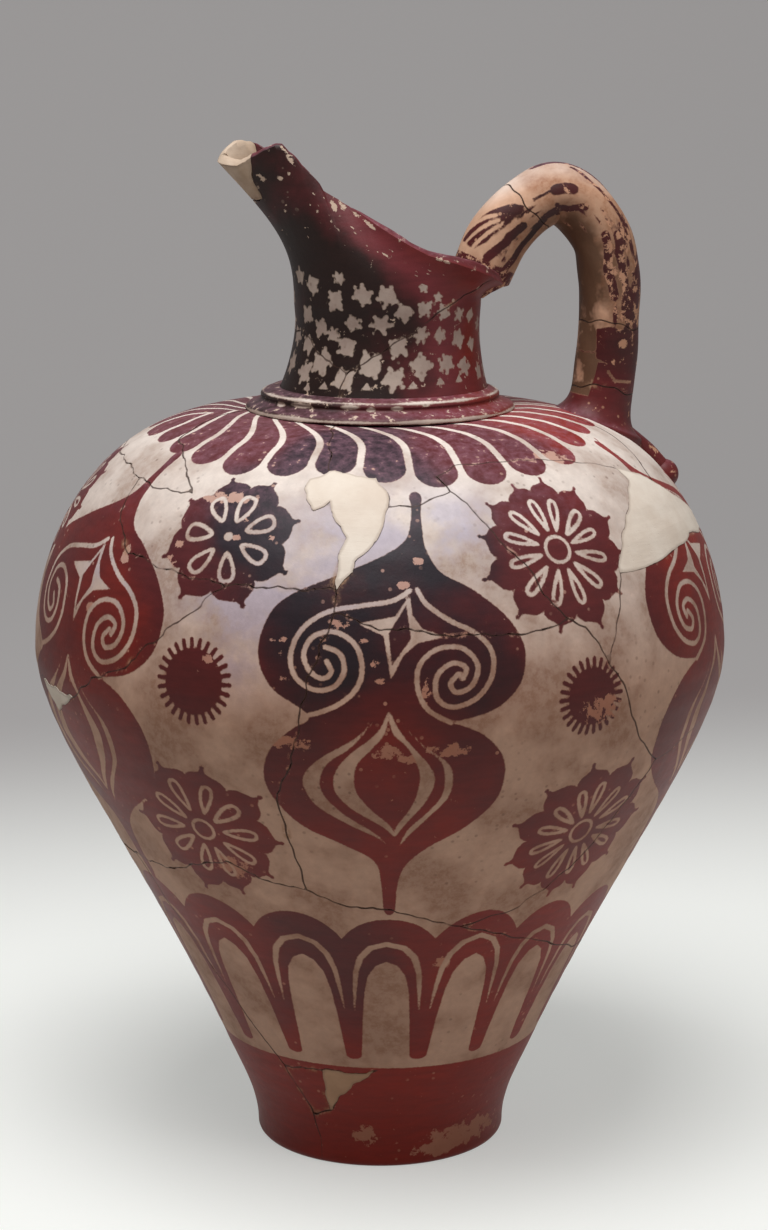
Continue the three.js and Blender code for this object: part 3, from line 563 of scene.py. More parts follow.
# Lilac clouds of the kiln on the clay, given like the worn patches
LILAC_CLOUDS = [
    (-14, 287, 15, 20), (4, 292, 8, 16), (-24, 262, 10, 12), (-60, 262, 8, 10), (-32, 241, 6, 14),
    (-36, 257, 6, 9),
]


def kiln_tone(azimuth, run, tones, scale, soft):
    """The slip's tone between the places where it is given: their mean, each weighted by one over the square
    of its squared distance and a softening added to it."""
    tone, weight = 0, 0
    for axis, height, value in tones:
        far = (turned_from(azimuth, axis) * scale[0]) ** 2 + ((run - height) * scale[1]) ** 2
        share = 1 / (far + soft) ** 2
        tone, weight = tone + value * share, weight + share
    return tone / weight


def patches(azimuth, run, places, blunt):
    """The sum of oval patches, each full in its middle and gone outside it; the blunter, the more level."""
    return sum(
        np.exp(-((turned_from(azimuth, axis) / wide) ** 2 + ((run - height) / high) ** 2) ** blunt)
        for axis, height, wide, high in places
    )


def body_painting(azimuth, run):
    """The painting's signed edge distance (negative under slip), the slip's tone, its wear and the clay's
    lilac clouds at places of the body."""
    slip = np.minimum(leaves(azimuth, run), arcade(azimuth, run))
    near = (np.abs(turned_from(azimuth, 90)) < STRIPE_REACH) & (run > STRIPE_FROM)
    slip[near] = np.minimum(slip[near], shoulder_stripe(azimuth[near], run[near]))
    for axis, stretch, hand in SCROLL_AXES:
        across = turned_from(azimuth, axis) * hand / stretch
        up = SCROLL_FOOT + (run - SCROLL_FOOT) / stretch
        near = (np.abs(across) < SCROLL_REACH) & (up > SCROLL_FOOT - SCROLL_BELOW) & (up < SCROLL_TOP)
        slip[near] = np.minimum(slip[near], scroll(across[near], up[near]))
    for axis, height, radius, *drawing in ROSETTES:
        across = turned_from(azimuth, axis) * np.radians(wall_radius(height))
        near = np.hypot(across, run - height) < ROSETTE_NEAR * radius
        slip[near] = np.minimum(slip[near], rosette(across[near], run[near] - height, radius, *drawing))
    for axis, height, disc, reach in SUNS:
        across = turned_from(azimuth, axis) * np.radians(wall_radius(height))
        near = np.hypot(across, run - height) < SUN_NEAR * reach
        slip[near] = np.minimum(slip[near], sun(across[near], run[near] - height, disc, reach))
    tone = kiln_tone(azimuth, run, KILN_TONES, (np.radians(wall_radius(run)), 1), KILN_SOFT)
    wear = patches(azimuth, run, WORN_PATCHES, 2) + np.interp(run, LEAF_WEAR_RUNS, (0, LEAF_WEAR))
    return slip, tone, wear, patches(azimuth, run, LILAC_CLOUDS, 1)


def linear(red, green, blue):
    """A colour as seen on a screen, 0 to 255, as the linear light that the materials use."""
    share = np.array([red, green, blue]) / 255
    return (*np.where(share < 0.04045, share / 12.92, ((share + 0.055) / 1.055) ** 2.4), 1)


def put(tree, kind, inputs=(), **settings):
    """Adds a node to a tree with its settings and its inputs, by name or by place; an input is a plain value
    or another node's output. Returns the node's outputs."""
    node = tree.nodes.new("ShaderNode" + kind)
    for name, value in settings.items():
        setattr(node, name, value)
    for name, value in dict(inputs if isinstance(inputs, dict) else enumerate(inputs)).items():
        if isinstance(value, bpy.types.NodeSocket):
            tree.links.new(value, node.inputs[name])
        elif value is not None:
            node.inputs[name].default_value = value
    return node.outputs


def blend(tree, share, first, second, kind="MIX"):
    """The mix of two colours by a share."""
    return put(tree, "Mix", {0: share, 6: first, 7: second}, data_type="RGBA", blend_type=kind)[2]


def sums(tree, kind, first, second, third=None):
    """One step of arithmetic."""
    return put(tree, "Math", [first, second, third], operation=kind)[0]


def times(tree, first, second):
    """The product of two values."""
    return sums(tree, "MULTIPLY", first, second)


def shaded(tree, colour, value):
    """A colour darkened or lightened by a value."""
    return blend(tree, 1.0, colour, put(tree, "CombineColor", [value, value, value])[0], "MULTIPLY")


def between(tree, value, low, high, to_low=0.0, to_high=1.0):
    """A value carried smoothly from one range to another, and held at its ends."""
    inputs = {0: value, 1: low, 2: high, 3: to_low, 4: to_high}
    return put(tree, "MapRange", inputs, interpolation_type="SMOOTHSTEP")[0]


def noise(tree, place, scale, detail=4.0, rough=0.6):
    """Soft random clouds from 0 to 1; scale counts clouds per metre."""
    return put(tree, "TexNoise", {"Vector": place, "Scale": scale, "Detail": detail, "Roughness": rough})[0]


def stored(tree, name):
    """A value stored at the corners of the piece."""
    return put(tree, "Attribute", attribute_name=name)[2]


def group_of(name, inputs, outputs):
    """An empty shader node group with named inputs and outputs. Returns the group and its two end nodes'
    sockets."""
    tree = bpy.data.node_groups.new(name, "ShaderNodeTree")
    kinds = {"colour": "NodeSocketColor", "value": "NodeSocketFloat"}
    for socket, kind in inputs.items():
        tree.interface.new_socket(socket, in_out="INPUT", socket_type=kinds[kind])
    for socket, kind in outputs.items():
        tree.interface.new_socket(socket, in_out="OUTPUT", socket_type=kinds[kind])
    return tree, tree.nodes.new("NodeGroupInput").outputs, tree.nodes.new("NodeGroupOutput").inputs


# Painted light: a pink sheen on the slip of faces that look upwards
PAINTED_PINK_SHEEN = (176, 128, 146)
# Painted light: a pale top light on the ground of faces that look upwards
PAINTED_TOP_LIGHT = (238, 227, 218)
SPECK_BROWN = (96, 66, 52)
GLUE_TAN = (168, 134, 104)
DIRT_BROWN = (62, 42, 34)
# Painted shade: the colour darkened and browned towards the bottom, between these two heights in metres
PAINTED_LOW_SHADE = (224, 193, 174)
LOW_SHADE_HEIGHTS = (0.272, 0.195)
# How far up a face looks, over which the painted sheen and the painted top light come in
LEVEL_FACES = (0.5, 0.95)


def slip_over_clay():
    """The look of slip-painted clay: burnished ground with clouds and specks; slip with brush streaks, chips
    and worn patches down to the pink clay; dirt and glue along the joints. Painted light and shade: a pink
    sheen on the slip and a pale top light on the ground where faces look upwards, and painted shade that
    darkens and browns the lower body. Puts out colour, roughness and height in mm."""
    colours = ("ground", "shade", "cloud", "black", "maroon", "red", "chip")
    tree, given, made = group_of(
        "slip_over_clay",
        {**dict.fromkeys(colours, "colour"), "wear": "value"},
        {"Color": "colour", "Roughness": "value", "Height": "value"},
    )
    place = put(tree, "TexCoord")["Object"]
    fine = noise(tree, place, 900, 3)
    small = noise(tree, place, 260, 6, 0.7)
    broad = noise(tree, place, 34, 5)
    slow = noise(tree, place, 11, 3)
    streaky = put(tree, "Mapping", {"Vector": place, "Scale": (1, 1, 5)})[0]
    streaks = noise(tree, streaky, 90, 4)

    edge = sums(tree, "MULTIPLY_ADD", sums(tree, "SUBTRACT", fine, 0.5), 0.8, stored(tree, "slip"))
    painted = between(tree, edge, 0.3, -0.3)
    worn = sums(tree, "MULTIPLY_ADD", stored(tree, "wear"), 0.27, times(tree, given["wear"], 0.14))
    level = sums(tree, "SUBTRACT", sums(tree, "MULTIPLY_ADD", slow, -0.16, 0.82), worn)
    chips = between(tree, small, level, sums(tree, "ADD", level, 0.05))
    pits = put(tree, "TexVoronoi", {"Vector": place, "Scale": 190})["Distance"]
    pitted = times(tree, between(tree, pits, 0.17, 0.1), between(tree, broad, 0.5, 0.62))
    near_break = stored(tree, "edge")
    rubbed = times(tree, between(tree, near_break, 1.3, 0.3), between(tree, small, 0.54, 0.64))
    bare = sums(tree, "MAXIMUM", sums(tree, "MAXIMUM", chips, rubbed), times(tree, pitted, 0.8))
    left = times(tree, painted, sums(tree, "SUBTRACT", 1.0, times(tree, bare, 0.9)))

    tone = sums(tree, "MULTIPLY_ADD", sums(tree, "SUBTRACT", broad, 0.5), 0.5, stored(tree, "tone"))
    slip = blend(tree, between(tree, tone, 0.12, 0.45), given["black"], given["maroon"])
    slip = blend(tree, between(tree, tone, 0.45, 0.95), slip, given["red"])
    slip = shaded(tree, slip, sums(tree, "MULTIPLY_ADD", streaks, 0.7, 0.66))
    # Painted light on faces that look upwards: a pink sheen on the slip here, and a pale top light on the
    # ground below
    upward = put(tree, "SeparateXYZ", [put(tree, "NewGeometry")["Normal"]])[2]
    upward = between(tree, upward, *LEVEL_FACES)
    painted_sheen = times(tree, upward, between(tree, small, 0.35, 0.7, 0.04, 0.34))
    slip = blend(tree, painted_sheen, slip, linear(*PAINTED_PINK_SHEEN))

    smudge = times(tree, between(tree, broad, 0.6, 0.38), between(tree, small, 0.35, 0.65, 0.4, 1.0))
    ground = blend(tree, smudge, given["ground"], given["shade"])
    # The cloud attribute gives the lilac clouds of the body's clay, and on the handle its plate and the
    # painted shade on its inner side
    cloudy = times(tree, stored(tree, "cloud"), between(tree, noise(tree, place, 55, 4), 0.3, 0.6))
    ground = blend(tree, cloudy, ground, given["cloud"])
    # Painted light: a pale top light on the ground of faces that look upwards
    pale = times(tree, upward, between(tree, broad, 0.3, 0.6, 0.25, 0.7))
    ground = blend(tree, pale, ground, linear(*PAINTED_TOP_LIGHT))
    ground = shaded(tree, ground, sums(tree, "MULTIPLY_ADD", small, 0.5, 0.75))
    specks = put(tree, "TexVoronoi", {"Vector": place, "Scale": 260})["Distance"]
    spot = times(tree, between(tree, specks, 0.24, 0.1), between(tree, slow, 0.48, 0.66))
    ground = blend(tree, times(tree, spot, 0.5), ground, linear(*SPECK_BROWN))
    ground = blend(tree, times(tree, painted, 0.8), ground, given["chip"])

    colour = blend(tree, left, ground, slip)
    glue = times(tree, between(tree, near_break, 2.2, 0.6), between(tree, broad, 0.58, 0.68))
    glue = times(tree, glue, between(tree, small, 0.42, 0.56))
    colour = blend(tree, times(tree, glue, 0.7), colour, linear(*GLUE_TAN))
    dirt_reach = sums(tree, "MULTIPLY_ADD", small, 0.95, -0.1)
    dirt = times(tree, between(tree, near_break, dirt_reach, 0.0), between(tree, broad, 0.25, 0.5))
    colour = blend(tree, times(tree, dirt, 0.82), colour, linear(*DIRT_BROWN))
    # Painted shade: the whole colour darker and browner towards the bottom of the body
    painted_low_shade = between(tree, put(tree, "SeparateXYZ", [place])[2], *LOW_SHADE_HEIGHTS)
    colour = blend(tree, painted_low_shade, colour, linear(*PAINTED_LOW_SHADE), "MULTIPLY")
    tree.links.new(colour, made["Color"])

    rough = sums(tree, "MULTIPLY_ADD", left, -0.13, 0.53)
    tree.links.new(sums(tree, "MULTIPLY_ADD", small, 0.18, rough), made["Roughness"])
    relief = sums(tree, "MULTIPLY_ADD", left, 0.06, times(tree, small, 0.16))
    tree.links.new(sums(tree, "MULTIPLY_ADD", fine, 0.05, relief), made["Height"])
    return tree


slip_look = slip_over_clay()
CLAY_SHEEN = 0.24


def new_material(name):
    """A new material, its node tree and its shader."""
    material = bpy.data.materials.new(name)
    material.use_nodes = True
    return material, material.node_tree, material.node_tree.nodes["Principled BSDF"]


def painted_clay(name, wear, **colours):
    """A slip-painted clay material from its amount of wear and its colours."""
    material, tree, shader = new_material(name)
    look = tree.nodes.new("ShaderNodeGroup")
    look.node_tree = slip_look
    for part, colour in colours.items():
        look.inputs[part].default_value = linear(*colour)
    look.inputs["wear"].default_value = wear
    shader.inputs["Specular IOR Level"].default_value = CLAY_SHEEN
    bump = put(tree, "Bump", {"Height": look.outputs["Height"], "Distance": 0.001, "Strength": 0.8})[0]
    tree.links.new(look.outputs["Color"], shader.inputs["Base Color"])
    tree.links.new(look.outputs["Roughness"], shader.inputs["Roughness"])
    tree.links.new(bump, shader.inputs["Normal"])
    return material


# Body sherds
# Nineteen thrown-clay sherds with broken edges; those of the foot meet round the flat base. The paint runs
# on across the joints, as it did before the jar broke.
body_clay = painted_clay(
    "body_clay", 0.5, ground=(214, 198, 188), shade=(164, 139, 125), cloud=(188, 178, 190),
    black=(36, 28, 36), maroon=(90, 35, 37), red=(142, 42, 28), chip=(196, 148, 130),
)
BODY_SHERDS = """front_left_sherd left_wedge_sherd left_ornament_sherd left_belly_sherd middle_ornament_sherd
front_top_sherd front_shoulder_sherd right_rosette_sherd handle_side_sherd right_ornament_sherd
right_belly_sherd back_left_sherd back_right_sherd back_shoulder_sherd foot_front_sherd foot_chip_sherd
foot_left_sherd foot_back_left_sherd foot_back_right_sherd""".split()
BODY_EDGES = (6, 362)
BODY_GRAIN = 0.9
BODY_INNER_GRAIN = 7
BODY_REACH = 2.5


def flat_scale(outline):
    """Millimetres to a degree of azimuth at an outline's mean run, and to a millimetre of run."""
    return np.array([np.radians(wall_radius(outline[:, 1].mean())), 1])


def finish_piece(piece, values, rest, material, slot, *nodes):
    """Stores a piece's painting values, gives it its material, and puts it in its nodes' place."""
    for name, value in values.items():
        keep(piece, name, value, rest.get(name, 0))
    piece.data.materials.append(material)
    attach(piece, "root")
    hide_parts(*nodes)


for name in BODY_SHERDS:
    outline = break_outline(name, on_body, BODY_REACH)
    if name.startswith("foot") and name != "foot_chip_sherd":
        outline = stood(outline)
    scale = flat_scale(outline)
    piece, azimuth, run, edge = sherd(
        name + "_painted", outline, scale, body_surface, BODY_EDGES, BODY_GRAIN, BODY_INNER_GRAIN, WALL,
    )
    slip, tone, wear, cloud = body_painting(azimuth, run)
    values = {"slip": slip, "tone": tone, "wear": wear, "cloud": cloud, "edge": edge}
    slot = "foot_clay" if name.startswith("foot") else "painted_clay"
    finish_piece(piece, values, {"slip": 5, "edge": 1}, body_clay, slot, name)


# Base
# The flat floor of the jar, slightly hollow below, from the same clay; the foot sherds stand round it.
BASE_SECTION = [(20, 0.5), (38, 0.15), (45, 0), (47, 0.3), (47.2, 1.2), (43.2, 2.5), (43.2, 8.5), (30, 9)]
BASE_SIDES = 120


def turned(section, sides):
    """A section of (radius, height) points turned once round the axis: a grid, section by side."""
    turn = np.linspace(0, 2 * np.pi, sides, endpoint=False)
    radius, height = np.array(section, float).T[:, :, None]
    return np.stack([radius * np.sin(turn), -radius * np.cos(turn), height + 0 * turn], -1)


def grid_faces(rows, columns):
    """Quads of a grid of points whose columns run once round."""
    number = np.arange(rows * columns).reshape(rows, columns)
    ahead = np.roll(number, -1, 1)
    return np.stack([number[:-1], ahead[:-1], ahead[1:], number[1:]], -1).reshape(-1, 4).tolist()


def ended(points):
    """A tube of rings (ring by side) closed at both ends by a fan round each end ring's middle."""
    rows, columns = points.shape[:2]
    flat = points.reshape(-1, 3)
    faces = grid_faces(rows, columns)
    last = (rows - 1) * columns
    side = np.arange(columns)
    ahead = np.roll(side, -1)
    flat = np.vstack([flat, points[0].mean(0), points[-1].mean(0)])
    faces += np.stack([ahead, side, np.full(columns, rows * columns)], 1).tolist()
    faces += np.stack([last + side, last + ahead, np.full(columns, rows * columns + 1)], 1).tolist()
    return flat, faces


def even_values(count, slip, tone, wear, edge):
    """The same painting values for all the corners of a piece that has no drawn pattern."""
    plain = {"slip": slip, "tone": tone, "wear": wear, "cloud": 0, "edge": edge}
    return {name: np.full(count, float(value)) for name, value in plain.items()}


base = as_object("foot_base", *ended(turned(BASE_SECTION, BASE_SIDES)))
values = even_values(len(base.data.vertices), slip=5, tone=1, wear=0, edge=5)
finish_piece(base, values, {}, body_clay, "foot_clay", "foot_front_sherd")


# Plaster fills
# Losses in the wall filled with plaster, smoothed a shade over the edges of the clay: cream ones on the
# body, a tan one at the foot. They are scraped level when half dry, which leaves faint strokes.
DUST_BROWN = (120, 92, 74)


def plaster(name, pale, deep):
    """A matt plaster material: faint clouds, scraping strokes, pores, and dust along the joint."""
    material, tree, shader = new_material(name)
    place = put(tree, "TexCoord")["Object"]
    drawn = put(tree, "Mapping", {"Vector": place, "Scale": (1, 1, 7), "Rotation": (0.4, 0.5, 0)})[0]
    strokes = noise(tree, drawn, 60, 5)
    clouds = noise(tree, place, 45, 5)
    pores = put(tree, "TexVoronoi", {"Vector": place, "Scale": 420})["Distance"]
    colour = blend(tree, between(tree, clouds, 0.3, 0.7), linear(*deep), linear(*pale))
    dust = between(tree, stored(tree, "edge"), times(tree, strokes, 2.2), 0.0)
    colour = blend(tree, times(tree, dust, 0.35), colour, linear(*DUST_BROWN))
    tree.links.new(colour, shader.inputs["Base Color"])
    tree.links.new(sums(tree, "MULTIPLY_ADD", clouds, 0.2, 0.72), shader.inputs["Roughness"])
    relief = sums(tree, "MULTIPLY_ADD", strokes, 0.25, between(tree, pores, 0.02, 0.16, 0.0, 0.08))
    bump = put(tree, "Bump", {"Height": relief, "Distance": 0.001, "Strength": 0.7})[0]
    tree.links.new(bump, shader.inputs["Normal"])
    return material


cream_plaster = plaster("cream_plaster", (234, 222, 208), (218, 202, 186))
tan_plaster = plaster("tan_plaster", (190, 150, 120), (166, 128, 98))
FILLS = {
    "front_fill": cream_plaster, "left_fill": cream_plaster, "right_fill": cream_plaster,
    "foot_fill": tan_plaster,
}
FILL_DEPTH = -0.25
FILL_LAP = 0.22
FAR_OFF = 5


def fill_surface(azimuth, run, depth):
    """The body's surface with the plaster a little proud of it."""
    return body_surface(azimuth, run, depth + FILL_DEPTH)


def lapped(flat, reach):
    """A flat outline drawn outwards, so that the piece laps over the joint round it."""
    along = np.roll(flat, -1, 0) - np.roll(flat, 1, 0)
    along /= np.maximum(np.hypot(*along.T), 1e-9)[:, None]
    return flat + np.stack([along[:, 1], -along[:, 0]], 1) * reach


for name, material in FILLS.items():
    outline = break_outline(name, on_body, BODY_REACH)
    scale = flat_scale(outline)
    outline = lapped(outline * scale, FILL_LAP) / scale
    piece, azimuth, run, edge = sherd(
        name + "_plaster", outline, scale, fill_surface, BODY_EDGES, BODY_GRAIN, BODY_INNER_GRAIN,
        WALL - FILL_DEPTH,
    )
    finish_piece(piece, {"edge": edge}, {"edge": FAR_OFF}, material, "plaster", name)


# Neck and beak
# A waisted tube set in the body's hole and drawn out above into a rising beak, open on top. Dark slip with
# reserved blotches on the neck; the beak is plain dark and chipped along its rim, its end is plaster.
NECK_WALL = 5.5
LIP = 4.5
LIP_CROWN = 1
NECK_LEAN = 3
NECK_STEPS = 60
MOULDING_FOOT, WAIST, SPRING = 296.3, 331, 338
BEAK_STRAIGHT = 0.42
BEAK_BEND = 0.3
RIM_BACK = (45.5, 6)
BEAK_TIP = (-66, 53)
BEAK_TIP_DIP = 4
RIM_FLANK = [(31, 30, 10), (2, 35, 21.5), (-19.5, 22.5, 37), (-39, 15, 57), (-54, 10.5, 56)]


def smooth_way(points, closed, steps=40):
    """The centripetal Catmull-Rom curve through points, as even steps of its length."""
    points = np.array(points, float)
    if closed:
        before, start, end, after = (np.roll(points, shift, 0) for shift in (1, 0, -1, -2))
    else:
        padded = np.vstack([2 * points[0] - points[1], points, 2 * points[-1] - points[-2]])
        before, start, end, after = padded[:-3], padded[1:-2], padded[2:-1], padded[3:]
    a, b, c = (np.linalg.norm(far - near, axis=1)[:, None] ** 0.5
               for near, far in ((before, start), (start, end), (end, after)))
    leave = ((start - before) / a - (end - before) / (a + b) + (end - start) / b) * b
    reach = ((end - start) / b - (after - start) / (b + c) + (after - end) / c) * b
    t = np.linspace(0, 1, steps, endpoint=False)[:, None, None]
    curve = (2 * t ** 3 - 3 * t ** 2 + 1) * start + (t ** 3 - 2 * t ** 2 + t) * leave
    curve = curve + (3 * t ** 2 - 2 * t ** 3) * end + (t ** 3 - t ** 2) * reach
    curve = curve.transpose(1, 0, 2).reshape(-1, 3)
    curve = np.vstack([curve, points[:1] if closed else points[-1:]])
    length = np.r_[0, np.cumsum(np.linalg.norm(np.diff(curve, axis=0), axis=1))]
    even = np.linspace(0, length[-1], len(curve) * 2)
    return np.stack([np.interp(even, length, axis) for axis in curve.T], 1), length[-1]


def taken(way, share):
    """Points of an evenly stepped way at shares of its length."""
    steps = np.linspace(0, 1, len(way))
    return np.stack([np.interp(share, steps, axis) for axis in way.T], -1)


far_flank = [(NECK_LEAN + reach, wide, SPRING + rise) for reach, wide, rise in RIM_FLANK]
near_flank = [(reach, -wide, rise) for reach, wide, rise in far_flank[::-1]]
far_flank[-1] = (*far_flank[-1][:2], far_flank[-1][2] + BEAK_TIP_DIP)
near_flank[0] = (*near_flank[0][:2], near_flank[0][2] - BEAK_TIP_DIP)
rim_back = (NECK_LEAN + RIM_BACK[0], 0, SPRING + RIM_BACK[1])
beak_tip = (NECK_LEAN + BEAK_TIP[0], 0, SPRING + BEAK_TIP[1])
rim_way, _ = smooth_way([rim_back, *far_flank, beak_tip, *near_flank], True)
rim_along = np.roll(rim_way[:-1], -1, 0) - np.roll(rim_way[:-1], 1, 0)
rim_along = np.vstack([rim_along, rim_along[:1]])
neck_line = np.vstack([
    [(44, 289.5)],
    bezier((44, MOULDING_FOOT), (40.5, 303.3), (35.9, 317), (35.9, WAIST), NECK_STEPS),
    [(36.4, SPRING)],
])
neck_share = np.r_[0, np.cumsum(np.hypot(*np.diff(neck_line, axis=0).T))]
neck_share /= neck_share[-1]


def neck_surface(azimuth, rise, depth):
    """A point of the neck. Up to a rise of 1 it lies on the turned, leaning tube; from 1 to 2 on the curve
    that leaves the tube upwards and swings over to the rim. Depth moves it into the wall."""
    azimuth, rise, depth = np.broadcast_arrays(azimuth, rise, depth)
    foot_rise = np.clip(rise, 0, 1)
    radius = np.interp(foot_rise, neck_share, neck_line[:, 0])
    height = np.interp(foot_rise, neck_share, neck_line[:, 1])
    turn = np.radians(azimuth)
    lean = NECK_LEAN * np.sqrt(np.clip((height - MOULDING_FOOT) / (WAIST - MOULDING_FOOT), 0, 1))
    outer = np.stack([radius * np.sin(turn) + lean, -radius * np.cos(turn), height], -1)
    foot = np.stack([(radius - depth) * np.sin(turn) + lean, (depth - radius) * np.cos(turn), height], -1)
    share = (azimuth - 90) % 360 / 360
    edge = taken(rim_way, share)
    straight = np.zeros_like(edge)
    straight[..., 2] = BEAK_STRAIGHT * (edge - outer)[..., 2]
    outwards = np.cross(taken(rim_along, share), edge - outer - straight)
    outwards /= np.linalg.norm(outwards, axis=-1, keepdims=True)
    edge = edge - outwards * (depth / NECK_WALL * LIP)[..., None]
    bend = foot + straight
    swing = bend + BEAK_BEND * (edge - bend)
    t = np.clip(rise - 1, 0, 1)[..., None]
    return (1 - t) ** 3 * foot + 3 * t * (1 - t) ** 2 * bend + 3 * t * t * (1 - t) * swing + t ** 3 * edge


# The rim as drawn, worn and chipped: azimuth, and millimetres over or under its even line
RIM_LIFTS = [
    (-180, 0), (-132, 0), (-126, -1), (-120, -2.8), (-114, -0.6), (-108, 0.6), (-102, 2), (-90, 1),
    (-78, 1), (-72, 3.8), (-66, 5), (-60, 4.6), (-57, 3.6), (-54, 0.2), (-48, -2.8), (-42, -2.8),
    (-37, -2.2), (-34, -3.2), (-30, -1.7), (-24, 0.4), (-12, 2.3), (12, 2.7), (24, 2), (36, 3), (48, 3),
    (60, 2.4), (78, 0), (180, 0),
]
# Where the plaster of the beak's tip reaches further: azimuth, half-width and move in degrees
TIP_BREAK = (-109, 8, -7)


def worn_beak(azimuth, rise, depth):
    """A point of the neck with its rim lifted or worn down; the change fades out down the flare."""
    point = neck_surface(azimuth, rise, depth)
    lift = np.interp(turned_from(azimuth, 0), *np.transpose(RIM_LIFTS))
    point[..., 2] += lift * np.clip(rise - 1, 0, 1) ** 2
    return point


def tip_outline(outline):
    """An outline at the beak's broken tip, its far side moved round the rim as far as the plaster reaches;
    the move fades out down the upper half of the flare."""
    axis, wide, move = TIP_BREAK
    share = np.exp(-(turned_from(outline[:, 0], axis) / wide) ** 2) * np.clip(outline[:, 1] * 2 - 3, 0, 1)
    return outline + np.stack([move * share, 0 * share], 1)


dense = np.meshgrid(np.arange(-180, 180, 0.5), np.arange(0, 2.005, 0.01))
dense_azimuth, dense_rise = (grid.ravel() for grid in dense)
neck_tree = kdtree.KDTree(len(dense_azimuth))
for index, point in enumerate(neck_surface(dense_azimuth, dense_rise, 0.0)):
    neck_tree.insert(point, index)
neck_tree.balance()


def on_neck(points):
    """Azimuth and rise of points near the neck's outer surface, and how far off it they lie."""
    found = [neck_tree.find(point) for point in points]
    nearest = np.array([index for _, index, _ in found])
    return dense_azimuth[nearest], dense_rise[nearest], np.array([gap for _, _, gap in found])


# Reserved blotches on the neck: azimuth, height, radius
BLOTCHES = [
    (-75, 349, 3.6), (-61, 346, 3.8), (-40, 349.5, 2.6), (-43, 340.6, 4.2), (-25, 343.3, 4.2),
    (-10, 342.6, 4.2), (13, 345.5, 2), (22, 342, 2), (-68, 334.5, 3.8), (-55, 330, 4), (-31, 332.5, 3.6),
    (-14, 332, 4.6), (0, 336.5, 3.8), (13, 338, 3.4), (26, 336.5, 3.4), (39, 335, 3), (51, 334, 3),
    (-82, 325.6, 3.8), (-66, 323, 4), (-45, 328, 3), (-35, 323.6, 4.2), (-3, 323.6, 4.4), (11, 328, 3.5),
    (24, 327.6, 2.7), (39, 325.6, 3.6), (53, 323, 3), (-84, 315, 4), (-51, 317.2, 5), (-64, 313, 4.2),
    (-19, 317.2, 4.8), (11, 316.2, 4.6), (28, 316.7, 3.8), (43, 314.8, 4), (60, 312, 3), (-34, 311.4, 4.6),
    (-5, 311.9, 4.5), (-94, 340, 3.6), (-96, 330, 3.8), (65, 330, 2.8),
]
BLOTCHES += [
    (76 + 15 * column + 7.5 * (row % 2), height, 4.3)
    for row, height in enumerate((341, 333, 325, 317, 311.5)) for column in range(12)
]
# Small bare triangles over the moulding: azimuth, height
FOOT_TRIANGLES = [(-58, 307), (-46, 308.2), (-20, 308.6), (6, 309), (23, 310), (37, 310.2)]
BLOTCH_DOT = (-16, 329, 1.4)
NECK_DEGREE = 0.64
BLOTCH_TOP = 1.4
BLOTCH_SIZE = 0.93
HEART_SIZE = 0.83
HEART_SQUARE = 2.6
KNOB_SIZE = 0.2
KNOB_REACH = (0.92, 1.04)
BITE_REACH = (0.74, 0.82, 1.2)


def blotch(across, up, radius, random):
    """How far inside an uneven blotch a point lies: a blunt square heart with round knobs on its edge, less
    small round bites between the knobs."""
    lean = random.uniform(-0.5, 0.5)
    wide = across * np.cos(lean) + up * np.sin(lean)
    high = (up * np.cos(lean) - across * np.sin(lean)) * random.uniform(0.85, 1.15)
    radius = BLOTCH_SIZE * radius
    out = (np.abs(wide) ** HEART_SQUARE + np.abs(high) ** HEART_SQUARE) ** (1 / HEART_SQUARE)
    inside = HEART_SIZE * radius - out
    knobs = random.integers(4, 7)
    turn = 2 * np.pi * (np.arange(knobs) + random.uniform(-0.2, 0.2, knobs) + random.random()) / knobs
    for angle in turn:
        reach = radius * random.uniform(*KNOB_REACH)
        knob = KNOB_SIZE * radius - np.hypot(wide - reach * np.cos(angle), high - reach * np.sin(angle))
        inside = np.maximum(inside, knob)
    for angle in turn + np.pi / knobs:
        reach = radius * random.choice(BITE_REACH)
        bite = KNOB_SIZE * radius - np.hypot(wide - reach * np.cos(angle), high - reach * np.sin(angle))
        inside = np.minimum(inside, -bite)
    return inside


# Worn patches on the beak: azimuth, rise, half-width in degrees, half-height as rise
BEAK_WEAR = [
    (-30, 1.9, 3, 0.06), (-22, 1.97, 3.5, 0.04), (-14, 1.96, 4, 0.04), (-8, 1.94, 3, 0.04),
    (-38, 1.71, 2, 0.05), (-34, 1.68, 2, 0.03), (-6, 1.65, 2.5, 0.02), (17, 1.72, 2.5, 0.03),
    (-55, 1.98, 4, 0.05), (-59, 1.85, 2, 0.03), (-64, 1.85, 1.6, 0.02), (-72, 1.89, 2, 0.03),
    (30, 1.98, 6, 0.03),
]
# Fine specks scattered over the beak's flank
scatter = np.random.default_rng(17)
BEAK_SPECKS = 46
BEAK_WEAR += zip(
    scatter.uniform(-88, 30, BEAK_SPECKS), scatter.uniform(1.5, 1.97, BEAK_SPECKS),
    scatter.uniform(0.8, 1.8, BEAK_SPECKS), scatter.uniform(0.006, 0.016, BEAK_SPECKS),
)
BEAK_RUB = 0.75
NECK_RUB = 0.22
RIM_RUB = [(1.9, 0), (2, 0.2)]
NECK_SCALE = np.array([0.66, 48])
NECK_SOFT = 90
